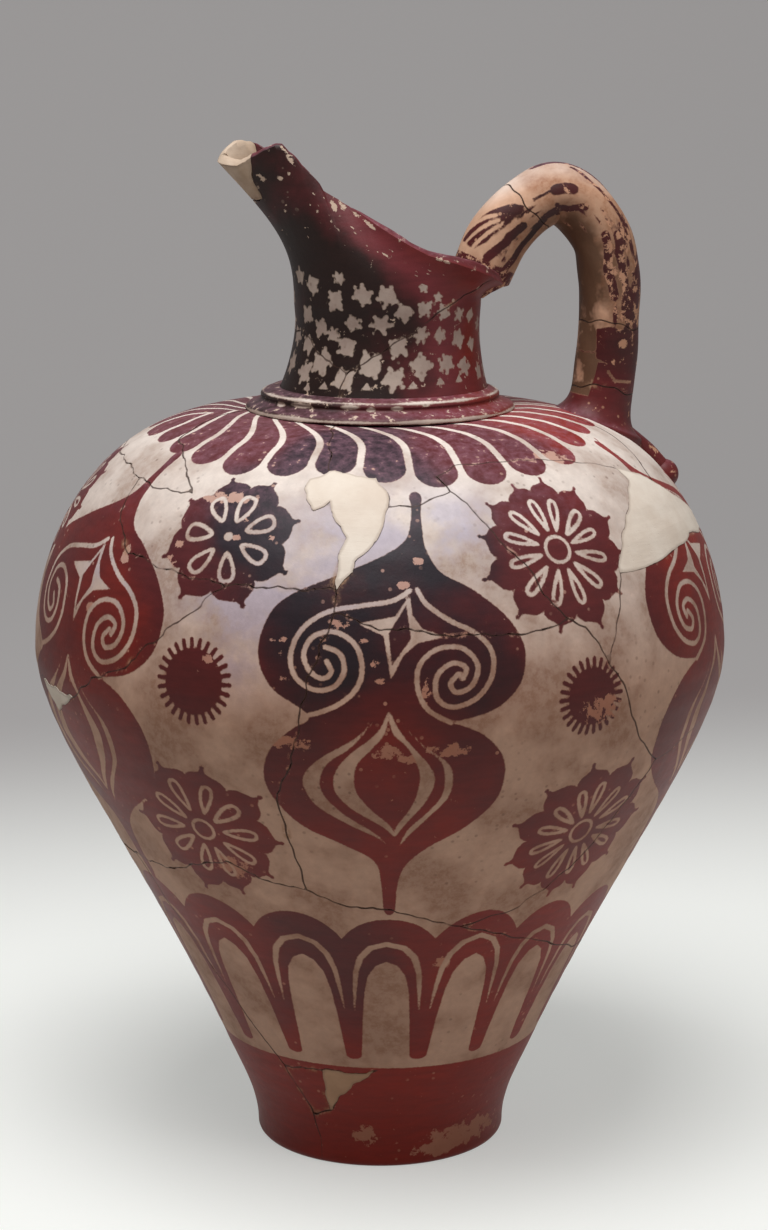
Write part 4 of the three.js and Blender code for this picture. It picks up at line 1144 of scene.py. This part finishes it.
# The kiln's tone of the neck's slip: azimuth, rise, tone. Up the beak's flare the tone is raised towards
# maroon and red, partly the kiln's and partly a painted sheen.
NECK_TONES = [
    (-68, 1.38, 0.06), (-30, 1.44, 0.06), (-32, 1.18, 0.08), (-53, 1.22, 0.03), (-59, 1.63, 0.2),
    (-40, 1.62, 0.34), (-18, 1.76, 0.5), (1, 1.82, 0.52), (18, 1.92, 0.72), (-7, 1.35, 0.3),
    (19, 1.56, 0.5), (47, 1.6, 0.8), (30, 1.17, 0.55), (-70, 0.4, 0.06), (-20, 0.4, 0.08), (10, 0.5, 0.24),
    (35, 0.5, 0.7), (25, 0.85, 0.45), (0, 0.9, 0.16), (55, 0.7, 0.95), (120, 0.6, 0.9), (-68, 1.94, 0.14),
    (-50, 1.93, 0.22), (180, 0.5, 0.7), (180, 1.6, 0.8), (-120, 1.6, 0.3), (-120, 0.5, 0.3),
    (-80, 1.85, 0.25), (100, 1.7, 0.8),
]


def neck_painting(azimuth, rise):
    """The neck's painting: dark slip, less knobbed blotches and a row of small triangles over the moulding;
    black below the beak, red towards the handle, maroon on the flare, with a few worn patches."""
    random = np.random.default_rng(5)
    height = neck_surface(azimuth, rise, 0.0)[:, 2]
    bare = np.full(len(azimuth), -9.0)
    for axis, level, radius in BLOTCHES:
        across, up = turned_from(azimuth, axis) * NECK_DEGREE, height - level
        near = (np.hypot(across, up) < 2 * radius) & (rise < BLOTCH_TOP)
        bare[near] = np.maximum(bare[near], blotch(across[near], up[near], radius, random))
    for axis, level in FOOT_TRIANGLES:
        across, up = turned_from(azimuth, axis) * NECK_DEGREE, height - level
        bare = np.maximum(bare, np.minimum(up + 0.8, 1.6 - np.abs(across) * 1.1 - up * 0.8))
    across, up = turned_from(azimuth, BLOTCH_DOT[0]) * NECK_DEGREE, height - BLOTCH_DOT[1]
    bare = np.minimum(bare, np.hypot(across, up) - BLOTCH_DOT[2])
    tone = kiln_tone(azimuth, rise, NECK_TONES, NECK_SCALE, NECK_SOFT)
    wear = NECK_RUB * np.clip(1 - np.abs(rise - 0.5) * 1.5, 0, 1) + np.interp(rise, *zip(*RIM_RUB))
    return bare, tone, wear + BEAK_RUB * patches(azimuth, rise, BEAK_WEAR, 2)


# The maroon is partly the slip's own and partly lightened towards pink as a painted sheen
neck_clay = painted_clay(
    "neck_clay", 0.5, ground=(180, 162, 150), shade=(152, 132, 122), cloud=(190, 178, 180),
    black=(34, 18, 15), maroon=(104, 42, 46), red=(118, 36, 26), chip=(206, 180, 158),
)
grey_plaster = plaster("grey_plaster", (208, 188, 168), (172, 146, 122))
NECK_EDGES = (0.1, 1.94)
NECK_GRAIN = 0.8
NECK_INNER_GRAIN = 2.4
NECK_REACH = 1.6
RIM_EDGE = 1.9
UNBROKEN = 3
INSIDE = {"slip": -2, "tone": 0.35, "wear": 0.3, "edge": UNBROKEN}
for name in ("neck_left_sherd", "neck_back_sherd", "neck_right_sherd", "beak_sherd", "beak_tip_fill"):
    outline = break_outline(name, on_neck, NECK_REACH)
    if name.startswith("beak"):
        outline = tip_outline(outline)
    piece, azimuth, rise, edge = sherd(
        name + "_drawn", outline, NECK_SCALE, worn_beak, NECK_EDGES, NECK_GRAIN, NECK_INNER_GRAIN, NECK_WALL,
        LIP_CROWN,
    )
    if name == "beak_tip_fill":
        finish_piece(piece, {"edge": edge}, {"edge": FAR_OFF}, grey_plaster, "plaster", name)
        continue
    slip, tone, wear = neck_painting(azimuth, rise)
    edge = np.where(rise > RIM_EDGE, UNBROKEN, edge)
    values = {"slip": slip, "tone": tone, "wear": wear, "cloud": 0 * slip, "edge": edge}
    finish_piece(piece, values, INSIDE, neck_clay, "neck_clay", name)


# Moulding
# A roll of clay luted round the foot of the neck and turned to two ridges, with the slip worn off along
# their edges.
MOULDING_SECTION = [
    (51.6, 296.1), (52.6, 296.3), (52.7, 297), (51.6, 298.4), (49.2, 299.4), (47.3, 300.2), (46.5, 301.1),
    (46.7, 302.2), (46, 303.3), (44.2, 304), (42.4, 304.8),
]
MOULDING_SIDES = 300
MOULDING_STEPS = 6
# Degrees from the black side under the beak, and the slip's tone there
MOULDING_TONES = [(30, 0.2), (75, 0.42), (100, 0.8), (150, 0.9)]
MOULDING_LAP = 0.15
# Worn lines along the ridges: height, half-width; and chips: azimuth, height, half-width in degrees
CREST_LINES = [(297.2, 0.5), (303.4, 0.26)]
CHIP_HIGH = 0.9
MOULDING_CHIPS = [
    (-50, 301.6, 6), (-24, 302.2, 4), (-2, 301.8, 2.5), (-64, 301, 3), (-14, 301.4, 2), (12, 303, 2),
]
section, _ = smooth_way([(radius, 0, height) for radius, height in MOULDING_SECTION], False, MOULDING_STEPS)
ridge = turned(section[:, ::2], MOULDING_SIDES)
sides = np.linspace(0, 360, MOULDING_SIDES, endpoint=False)
seat_rise = np.interp([304.8, 301, 296.1], neck_line[:, 1], neck_share)
seat = neck_surface(sides[None, :], seat_rise[:, None], -MOULDING_LAP)
rings = np.vstack([ridge, seat, ridge[:1]])
points = rings[:-1].reshape(-1, 3)
faces = np.array(grid_faces(len(rings), MOULDING_SIDES)) % len(points)
moulding = as_object("neck_moulding_turned", points, faces.tolist())
azimuth = np.degrees(np.arctan2(points[:, 0], -points[:, 1]))
height = points[:, 2]
values = even_values(len(points), slip=-2, tone=0, wear=0.3, edge=UNBROKEN)
waver = 0.2 * np.sin(np.radians(azimuth * 5)) + 0.16 * np.sin(np.radians(azimuth * 13))
for level, half in CREST_LINES:
    values["slip"] = np.maximum(values["slip"], half + waver - np.abs(height - level))
for axis, level, reach in MOULDING_CHIPS:
    chip = 1 - np.hypot(turned_from(azimuth, axis) / reach, (height - level) / CHIP_HIGH)
    values["slip"] = np.maximum(values["slip"], chip)
values["tone"] = np.interp(np.abs(turned_from(azimuth, -60)), *zip(*MOULDING_TONES))
finish_piece(moulding, values, {}, neck_clay, "neck_clay", "neck_moulding")


# Handle
# A round bar of clay luted on the rim's back, bent up and over and down to the shoulder, where it spreads
# into a tail that ends in a pellet. Buff clay with worn dark stripes; broken in four lengths.
HANDLE_WAY = [
    (36.5, 0, 340), (47.9, 0, 363.8), (60.7, 0, 375), (69, 0, 378.7), (78.4, 0, 374.7), (87.9, 0, 361.9),
    (90.9, 0, 350), (92, 0, 326), (86, 0, 276),
]
HANDLE_HALF = (12, 12.5)
# Dents of the hand in the bar: depth, waves round, drift along
DENTS = [(0.25, 3, 19), (0.2, 2, -31), (0.12, 5, 47)]
HANDLE_BREAKS = [0, 0.24, 0.685, 0.845, 1]
HANDLE_NAMES = ["handle_rim_arm", "handle_arch", "handle_shank", "handle_root"]
SKIRT = 6.5
SKIRT_FADE = 4
ROOT_SUNK = 0.7
SHOULDER_FROM = 210
# Where the bar starts from the neck: distance from the axis, height
RIM_SEAT = [(34, 337), (42, 341.5), (47, 343.2)]
HANDLE_SIDES = 84
HANDLE_STEP = 0.9
HANDLE_GAP = 0.12
handle_way, handle_length = smooth_way(HANDLE_WAY, False)
handle_along = np.gradient(handle_way, axis=0)
handle_along /= np.linalg.norm(handle_along, axis=1, keepdims=True)


def over_shoulder(point):
    """How high points lie over the body's shoulder."""
    top = wall_line[wall_run > SHOULDER_FROM]
    return point[..., 2] - np.interp(np.hypot(point[..., 0], point[..., 1]), top[::-1, 0], top[::-1, 1])


def bar_surface(share, angle):
    """A point of the handle's bar: an uneven oval square to its way, spreading into a skirt just over the
    shoulder. The angle counts from the inner side, over the back, round the outer side to the front."""
    along = taken(handle_along, share)
    inwards = np.stack([along[..., 2], 0 * share, -along[..., 0]], -1)
    plain = taken(handle_way, share) + inwards * (HANDLE_HALF[0] * np.cos(angle))[..., None]
    plain[..., 1] += HANDLE_HALF[1] * np.sin(angle)
    spread = SKIRT * np.exp(-np.clip(over_shoulder(plain), 0, None) / SKIRT_FADE)
    dents = sum(depth * np.sin(waves * angle + drift * share) for depth, waves, drift in DENTS)
    high = (HANDLE_HALF[0] + spread + dents) * np.cos(angle)
    point = taken(handle_way, share) + inwards * high[..., None]
    point[..., 1] += (HANDLE_HALF[1] + spread + dents) * np.sin(angle)
    return point


def rim_start(angle):
    """The share of its way at which each side of the bar leaves the rim: outside the neck at the rim's
    height, inside it down on the inner wall."""
    shares = np.linspace(0, 0.2, 200)
    point = bar_surface(shares[:, None], angle[None, :])
    seat = np.interp(point[..., 0], *zip(*RIM_SEAT))
    return shares[(point[..., 2] > seat).argmax(0)]


def root_end(angle):
    """The share of its way at which each side of the bar goes into the shoulder."""
    shares = np.linspace(1.0, 0.8, 200)
    point = bar_surface(shares[:, None], angle[None, :])
    return shares[(over_shoulder(point) > -ROOT_SUNK).argmax(0)]


def break_place(share, angle):
    """A break right round the bar: its share of the way, with a jagged course in millimetres."""
    jag = 1.6 * np.sin(angle + 7 * share) + 0.9 * np.sin(3 * angle + 40 * share) + 0.4 * np.sin(8 * angle)
    return share + jag / handle_length


# Dark stripes along the handle: half-width in mm, then share of its way and degrees from the inner side
HANDLE_STRIPES = [
    (1.7, [(0.3, 178), (0.384, 169), (0.5, 168)]), (4.4, [(0.55, 166), (0.66, 162), (0.8, 160)]),
    (5.6, [(0.63, 140), (0.7, 138), (0.8, 140)]),
    (0.8, [(0.336, 156), (0.368, 138), (0.408, 132), (0.448, 135), (0.476, 141)]),
    (0.6, [(0.256, 105), (0.288, 102), (0.305, 102)]), (2.3, [(0.31, 101), (0.338, 105)]),
    (1.7, [(0.06, 66), (0.116, 51), (0.196, 48), (0.25, 62)]), (1.5, [(0.26, 66), (0.35, 66), (0.384, 88)]),
    (1.8, [(0.2, 78), (0.14, 84), (0.092, 103)]),
    (1.9, [(0.468, 87), (0.516, 81), (0.552, 75), (0.584, 81), (0.616, 84)]),
    (1.7, [(0.48, 108), (0.528, 102), (0.568, 108), (0.612, 108), (0.672, 111)]),
    (2.8, [(0.616, 118), (0.672, 121), (0.732, 127), (0.8, 130)]), (0.3, [(0.757, 0), (0.755, 52)]),
]
# The leaf on the arm with its veins, and the block on the shank with its chip and its scratch
LEAF_ON_ARM = [
    (0.232, 105), (0.216, 123), (0.176, 144), (0.14, 162), (0.104, 178), (0.096, 135), (0.12, 117),
    (0.168, 105), (0.204, 93),
]
LEAF_VEINS = [
    [(0.176, 130), (0.13, 170)], [(0.172, 120), (0.106, 160)], [(0.178, 107), (0.1, 138)],
    [(0.228, 100), (0.15, 102), (0.09, 124)],
]
VEIN_HALF = 0.75
SHANK_BLOCK = [(0.696, 50), (0.768, 54), (0.78, 81), (0.79, 125), (0.7, 116), (0.688, 75)]
SHANK_CHIP = (0.728, 105, 0.012, 8)
SHANK_SCRATCH = [(0.796, 81), (0.816, 96), (0.816, 132)]
SCRATCH_HALF = 0.5
# The bare plate on the shank's inner side, and how far painted shade darkens the clay from the inner side
# round the bar, and along it
PLATE_HALF = 52
PLATE_SIDE = 8
PLATE_ENDS = (0.684, 0.86)
PLATE_DEPTH = 2.4
INNER_SHADE_DEPTH = 1.4
INNER_SHADE_FROM = 45
INNER_SHADE_TO = [(0.42, 98), (0.58, 172)]
INNER_SHADE_ALONG = [(0.2, 0.2), (0.36, 1)]
ARM_FOOT = 0.082
ROOT_PAINT = 0.776
AROUND_DEGREE = 0.214
# Flecks left of the worn stripes, scattered: shares, middle and spread of the sides, number
FLECK_ZONES = [((0.42, 0.74), (120, 17), 70), ((0.1, 0.27), (82, 13), 14), ((0.24, 0.44), (64, 9), 8)]
FLECK_LONG = (1.2, 5)
FLECK_HALF = (0.35, 1.1)
# The slip's tone and wear by the share of the handle's way
HANDLE_TONES = [
    (0, 0.5), (0.08, 0.46), (0.12, 0.3), (0.22, 0.24), (0.4, 0.38), (0.7, 0.36), (0.79, 0.34), (0.82, 0.6),
    (1, 0.65),
]
HANDLE_WEAR = [
    (0, 0.5), (0.09, 0.5), (0.12, 0.1), (0.25, 0.2), (0.45, 0.6), (0.66, 0.5), (0.72, 0.2), (1, 0.1),
]


def handle_painting(share, angle):
    """The handle's painting, the same on both sides: a veined leaf on the arm, worn stripes, a dark block on
    the shank beside a bare plate on its inner side, a dark foot at the rim and red slip at the root; with
    painted shade on the bar's inner side."""
    side = np.abs(np.degrees(np.arctan2(np.sin(angle), np.cos(angle))))
    to_flat = np.array([handle_length, AROUND_DEGREE])
    points = np.stack([share, side], 1) * to_flat
    root = np.interp(side, [PLATE_HALF, PLATE_HALF + PLATE_SIDE], [PLATE_ENDS[1], ROOT_PAINT])
    slip = np.minimum((share - ARM_FOOT) * handle_length, (root - share) * handle_length)
    slip = np.minimum(slip, ring_distance(points, np.array(LEAF_ON_ARM) * to_flat))
    for vein in LEAF_VEINS:
        slip = np.maximum(slip, VEIN_HALF - line_distance(points, np.array(vein) * to_flat))
    slip = np.minimum(slip, ring_distance(points, np.array(SHANK_BLOCK) * to_flat))
    for half, stripe in HANDLE_STRIPES:
        slip = np.minimum(slip, line_distance(points, np.array(stripe) * to_flat) - half)
    random = np.random.default_rng(3)
    for shares, sides, number in FLECK_ZONES:
        middles = np.stack([random.uniform(*shares, number), random.normal(*sides, number)], 1) * to_flat
        sizes = np.stack([random.uniform(*FLECK_LONG, number), random.uniform(*FLECK_HALF, number)], 1)
        for middle, size in zip(middles, sizes):
            slip = np.minimum(slip, (np.hypot(*((points - middle) / size).T) - 1) * size[1])
    slip = np.maximum(slip, SCRATCH_HALF - line_distance(points, np.array(SHANK_SCRATCH) * to_flat))
    tone = np.interp(share, *zip(*HANDLE_TONES))
    wear = np.interp(share, *zip(*HANDLE_WEAR))
    chip = np.hypot((share - SHANK_CHIP[0]) / SHANK_CHIP[2], (side - SHANK_CHIP[1]) / SHANK_CHIP[3])
    wear = wear + np.exp(-chip ** 4)
    inside = np.minimum(share - PLATE_ENDS[0], PLATE_ENDS[1] - share) * handle_length
    plate = np.clip(np.minimum((PLATE_HALF - side) * AROUND_DEGREE, inside), 0, 1)
    # Painted shade on the bar's inner side, reaching further round towards the shank
    reach = np.interp(share, *zip(*INNER_SHADE_TO))
    inner_shade = np.clip((reach - side) / (reach - INNER_SHADE_FROM), 0, 1) * np.interp(share, *zip(*INNER_SHADE_ALONG))
    return slip, tone, wear, np.maximum(PLATE_DEPTH * plate, INNER_SHADE_DEPTH * inner_shade)


# The cloud colour is the plate's own colour, darkened as painted shade, and the colour of the painted shade
# on the bar's inner side
handle_clay = painted_clay(
    "handle_clay", 0.6, ground=(206, 164, 136), shade=(150, 102, 74), cloud=(100, 72, 54),
    black=(42, 25, 22), maroon=(80, 29, 30), red=(106, 36, 36), chip=(204, 154, 124),
)
angle = np.linspace(0, 2 * np.pi, HANDLE_SIDES, endpoint=False)
gap = HANDLE_GAP / handle_length
for name, start, end in zip(HANDLE_NAMES, HANDLE_BREAKS[:-1], HANDLE_BREAKS[1:]):
    low = break_place(start, angle) + gap if start > 0 else rim_start(angle)
    high = break_place(end, angle) - gap if end < 1 else root_end(angle)
    rows = int((end - start) * handle_length / HANDLE_STEP)
    share = low + (high - low) * np.linspace(0, 1, rows)[:, None]
    around = np.broadcast_to(angle, share.shape)
    points, faces = ended(bar_surface(share, around))
    slip, tone, wear, inner_shade = handle_painting(share.ravel(), around.ravel())
    from_start = share - low if start > 0 else np.inf
    from_end = high - share if end < 1 else np.inf
    edge = np.minimum(from_start, from_end).ravel() * handle_length
    values = {"slip": slip, "tone": tone, "wear": wear, "cloud": inner_shade, "edge": edge}
    piece = as_object(name + "_bar", points, faces)
    finish_piece(piece, values, {"slip": 5}, handle_clay, "handle_clay", name)


# Tail and pellet
# Below the bar's root the clay is smeared down the shoulder as a flat tail, and a pellet is pressed on at
# its end. Both are covered with red slip.
TAIL_RUN = (328, 292)
TAIL_HALF = (8.5, 4)
TAIL_RISE = 4.5
TAIL_SUNK = 0.6
TAIL_ROWS, TAIL_SIDES = 60, 40
TAIL_TONE = 0.75
tail_share = np.linspace(0, 1, TAIL_ROWS)[:, None]
tail_angle = np.linspace(0, 2 * np.pi, TAIL_SIDES, endpoint=False)
tail_run = TAIL_RUN[0] + (TAIL_RUN[1] - TAIL_RUN[0]) * tail_share
tail_half = TAIL_HALF[0] + (TAIL_HALF[1] - TAIL_HALF[0]) * tail_share
tail_across = tail_half * np.cos(tail_angle)
tail_up = np.where(np.sin(tail_angle) > 0, TAIL_RISE, TAIL_SUNK) * np.sin(tail_angle)
tail_azimuth = 90 + tail_across / np.radians(wall_radius(tail_run))
points, faces = ended(body_surface(tail_azimuth, tail_run, -tail_up)[:, ::-1])
tail = as_object("handle_tail", points, faces)
values = even_values(tail_across.size, slip=-2, tone=TAIL_TONE, wear=0.3, edge=UNBROKEN)
finish_piece(tail, values, {"slip": -2, "tone": TAIL_TONE}, handle_clay, "handle_clay", "handle_root")

PELLET_RADIUS = 6
PELLET_RUN = 288
PELLET_SUNK = 1
PELLET_ROWS, PELLET_SIDES = 26, 48
pellet_up = np.linspace(-1, 1, PELLET_ROWS)[:, None] * np.pi / 2
pellet_turn = np.linspace(0, 2 * np.pi, PELLET_SIDES, endpoint=False)[None, :]
pellet_across = PELLET_RADIUS * np.cos(pellet_up) * np.cos(pellet_turn)
pellet_along = PELLET_RADIUS * np.cos(pellet_up) * np.sin(pellet_turn)
pellet_out = np.clip(PELLET_RADIUS * np.sin(pellet_up), -PELLET_SUNK, None)
pellet_azimuth = 90 + pellet_across / np.radians(wall_radius(PELLET_RUN))
ball = body_surface(pellet_azimuth, PELLET_RUN + pellet_along, -pellet_out)
points, faces = ended(ball[1:-1])
pellet = as_object("tail_pellet_ball", points, faces)
values = even_values(len(points), slip=-2, tone=TAIL_TONE, wear=0.2, edge=UNBROKEN)
finish_piece(pellet, values, {}, handle_clay, "handle_clay", "tail_pellet")


# Floor, light and camera
# A pale floor that sweeps up into a plain grey backdrop, a broad soft lamp above and to the front left,
# a weaker one from the right, and the camera at the height of the handle.
FLOOR_REACH = 1.2
FLOOR_BEND = 0.6
FLOOR_HALF = 4
FLOOR_ALONG = (-3, 5)
FLOOR_ROWS = 161


def sweep(across, along):
    """The floor's sheet: level in front, then rising in a quarter circle to an upright wall behind."""
    level = np.clip(along, None, FLOOR_REACH)
    turn = np.clip((along - FLOOR_REACH) / FLOOR_BEND, 0, np.pi / 2)
    upright = np.clip(along - FLOOR_REACH - FLOOR_BEND * np.pi / 2, 0, None)
    back = level + FLOOR_BEND * np.sin(turn)
    return np.stack([across, back, FLOOR_BEND * (1 - np.cos(turn)) + upright], -1)


columns, rows = np.meshgrid(np.linspace(-FLOOR_HALF, FLOOR_HALF, 3), np.linspace(*FLOOR_ALONG, FLOOR_ROWS))
grid = np.arange(columns.size).reshape(columns.shape)
quads = np.stack([grid[:-1, :-1], grid[:-1, 1:], grid[1:, 1:], grid[1:, :-1]], -1).reshape(-1, 4)
floor_mesh = bpy.data.meshes.new("floor")
floor_mesh.from_pydata(sweep(columns.ravel(), rows.ravel()).tolist(), [], quads.tolist())
floor_mesh.polygons.foreach_set("use_smooth", np.ones(len(quads), bool))
floor = bpy.data.objects.new("floor", floor_mesh)
bpy.context.scene.collection.objects.link(floor)


def seen(tree):
    """1 where the backdrop is looked at straight, mirrored or through glass, and 0 where it only lights."""
    rays = put(tree, "LightPath")
    share = sums(tree, "MAXIMUM", rays["Is Camera Ray"], rays["Is Glossy Ray"])
    return sums(tree, "MAXIMUM", share, rays["Is Transmission Ray"])


paper, tree, sheet = new_material("backdrop_paper")
place = put(tree, "TexCoord")["Object"]
behind = between(tree, put(tree, "SeparateXYZ", [place])[1], 0.2, 0.75)
tint = blend(tree, behind, linear(200, 201, 198), linear(120, 118, 117))
tint = shaded(tree, tint, sums(tree, "MULTIPLY_ADD", noise(tree, place, 300, 3), 0.03, 0.985))
glow = blend(tree, behind, linear(170, 172, 170), linear(132, 130, 130))
tree.links.new(tint, sheet.inputs["Base Color"])
tree.links.new(glow, sheet.inputs["Emission Color"])
tree.links.new(seen(tree), sheet.inputs["Emission Strength"])
sheet.inputs["Roughness"].default_value = 0.9
floor_mesh.materials.append(paper)


def lamp(name, place, target, size, power):
    """A square soft lamp at a place, turned to a target."""
    light = bpy.data.lights.new(name, "AREA")
    light.size = size
    light.energy = power
    lamp_object = bpy.data.objects.new(name, light)
    lamp_object.location = place
    lamp_object.rotation_euler = (Vector(target) - Vector(place)).to_track_quat("-Z", "Y").to_euler()
    bpy.context.scene.collection.objects.link(lamp_object)


lamp("top_lamp", (-0.2, -0.42, 1.65), (0, 0, 0.25), 0.9, 25)
lamp("side_lamp", (1.4, -1.0, 0.9), (0, 0, 0.2), 1.0, 3)
world = bpy.data.worlds.new("room_light")
bpy.context.scene.world = world
world.use_nodes = True
tree = world.node_tree
dim = tree.nodes["Background"]
dim.inputs["Color"].default_value = linear(190, 182, 176)
dim.inputs["Strength"].default_value = 0.23
grey = put(tree, "Background", [linear(150, 148, 147), 1.0])[0]
room = put(tree, "MixShader", [seen(tree), dim.outputs[0], grey])[0]
tree.links.new(room, tree.nodes["World Output"].inputs["Surface"])

CAMERA_AZIMUTH = np.radians(-10)
CAMERA_REACH = 1.13
CAMERA_ASIDE = 0.00156
CAMERA_HEIGHT = 0.447
CAMERA_TILT = np.radians(78.3)
view = bpy.data.cameras.new("camera")
view.sensor_fit = "VERTICAL"
view.sensor_height = 24
view.lens = 56.59
camera = bpy.data.objects.new("camera", view)
camera.location = (
    CAMERA_REACH * np.sin(CAMERA_AZIMUTH) + CAMERA_ASIDE * np.cos(CAMERA_AZIMUTH),
    -CAMERA_REACH * np.cos(CAMERA_AZIMUTH) + CAMERA_ASIDE * np.sin(CAMERA_AZIMUTH),
    CAMERA_HEIGHT,
)
camera.rotation_euler = (CAMERA_TILT, 0, CAMERA_AZIMUTH)
bpy.context.scene.collection.objects.link(camera)
bpy.context.scene.camera = camera
bpy.context.scene.view_settings.view_transform = "Standard"
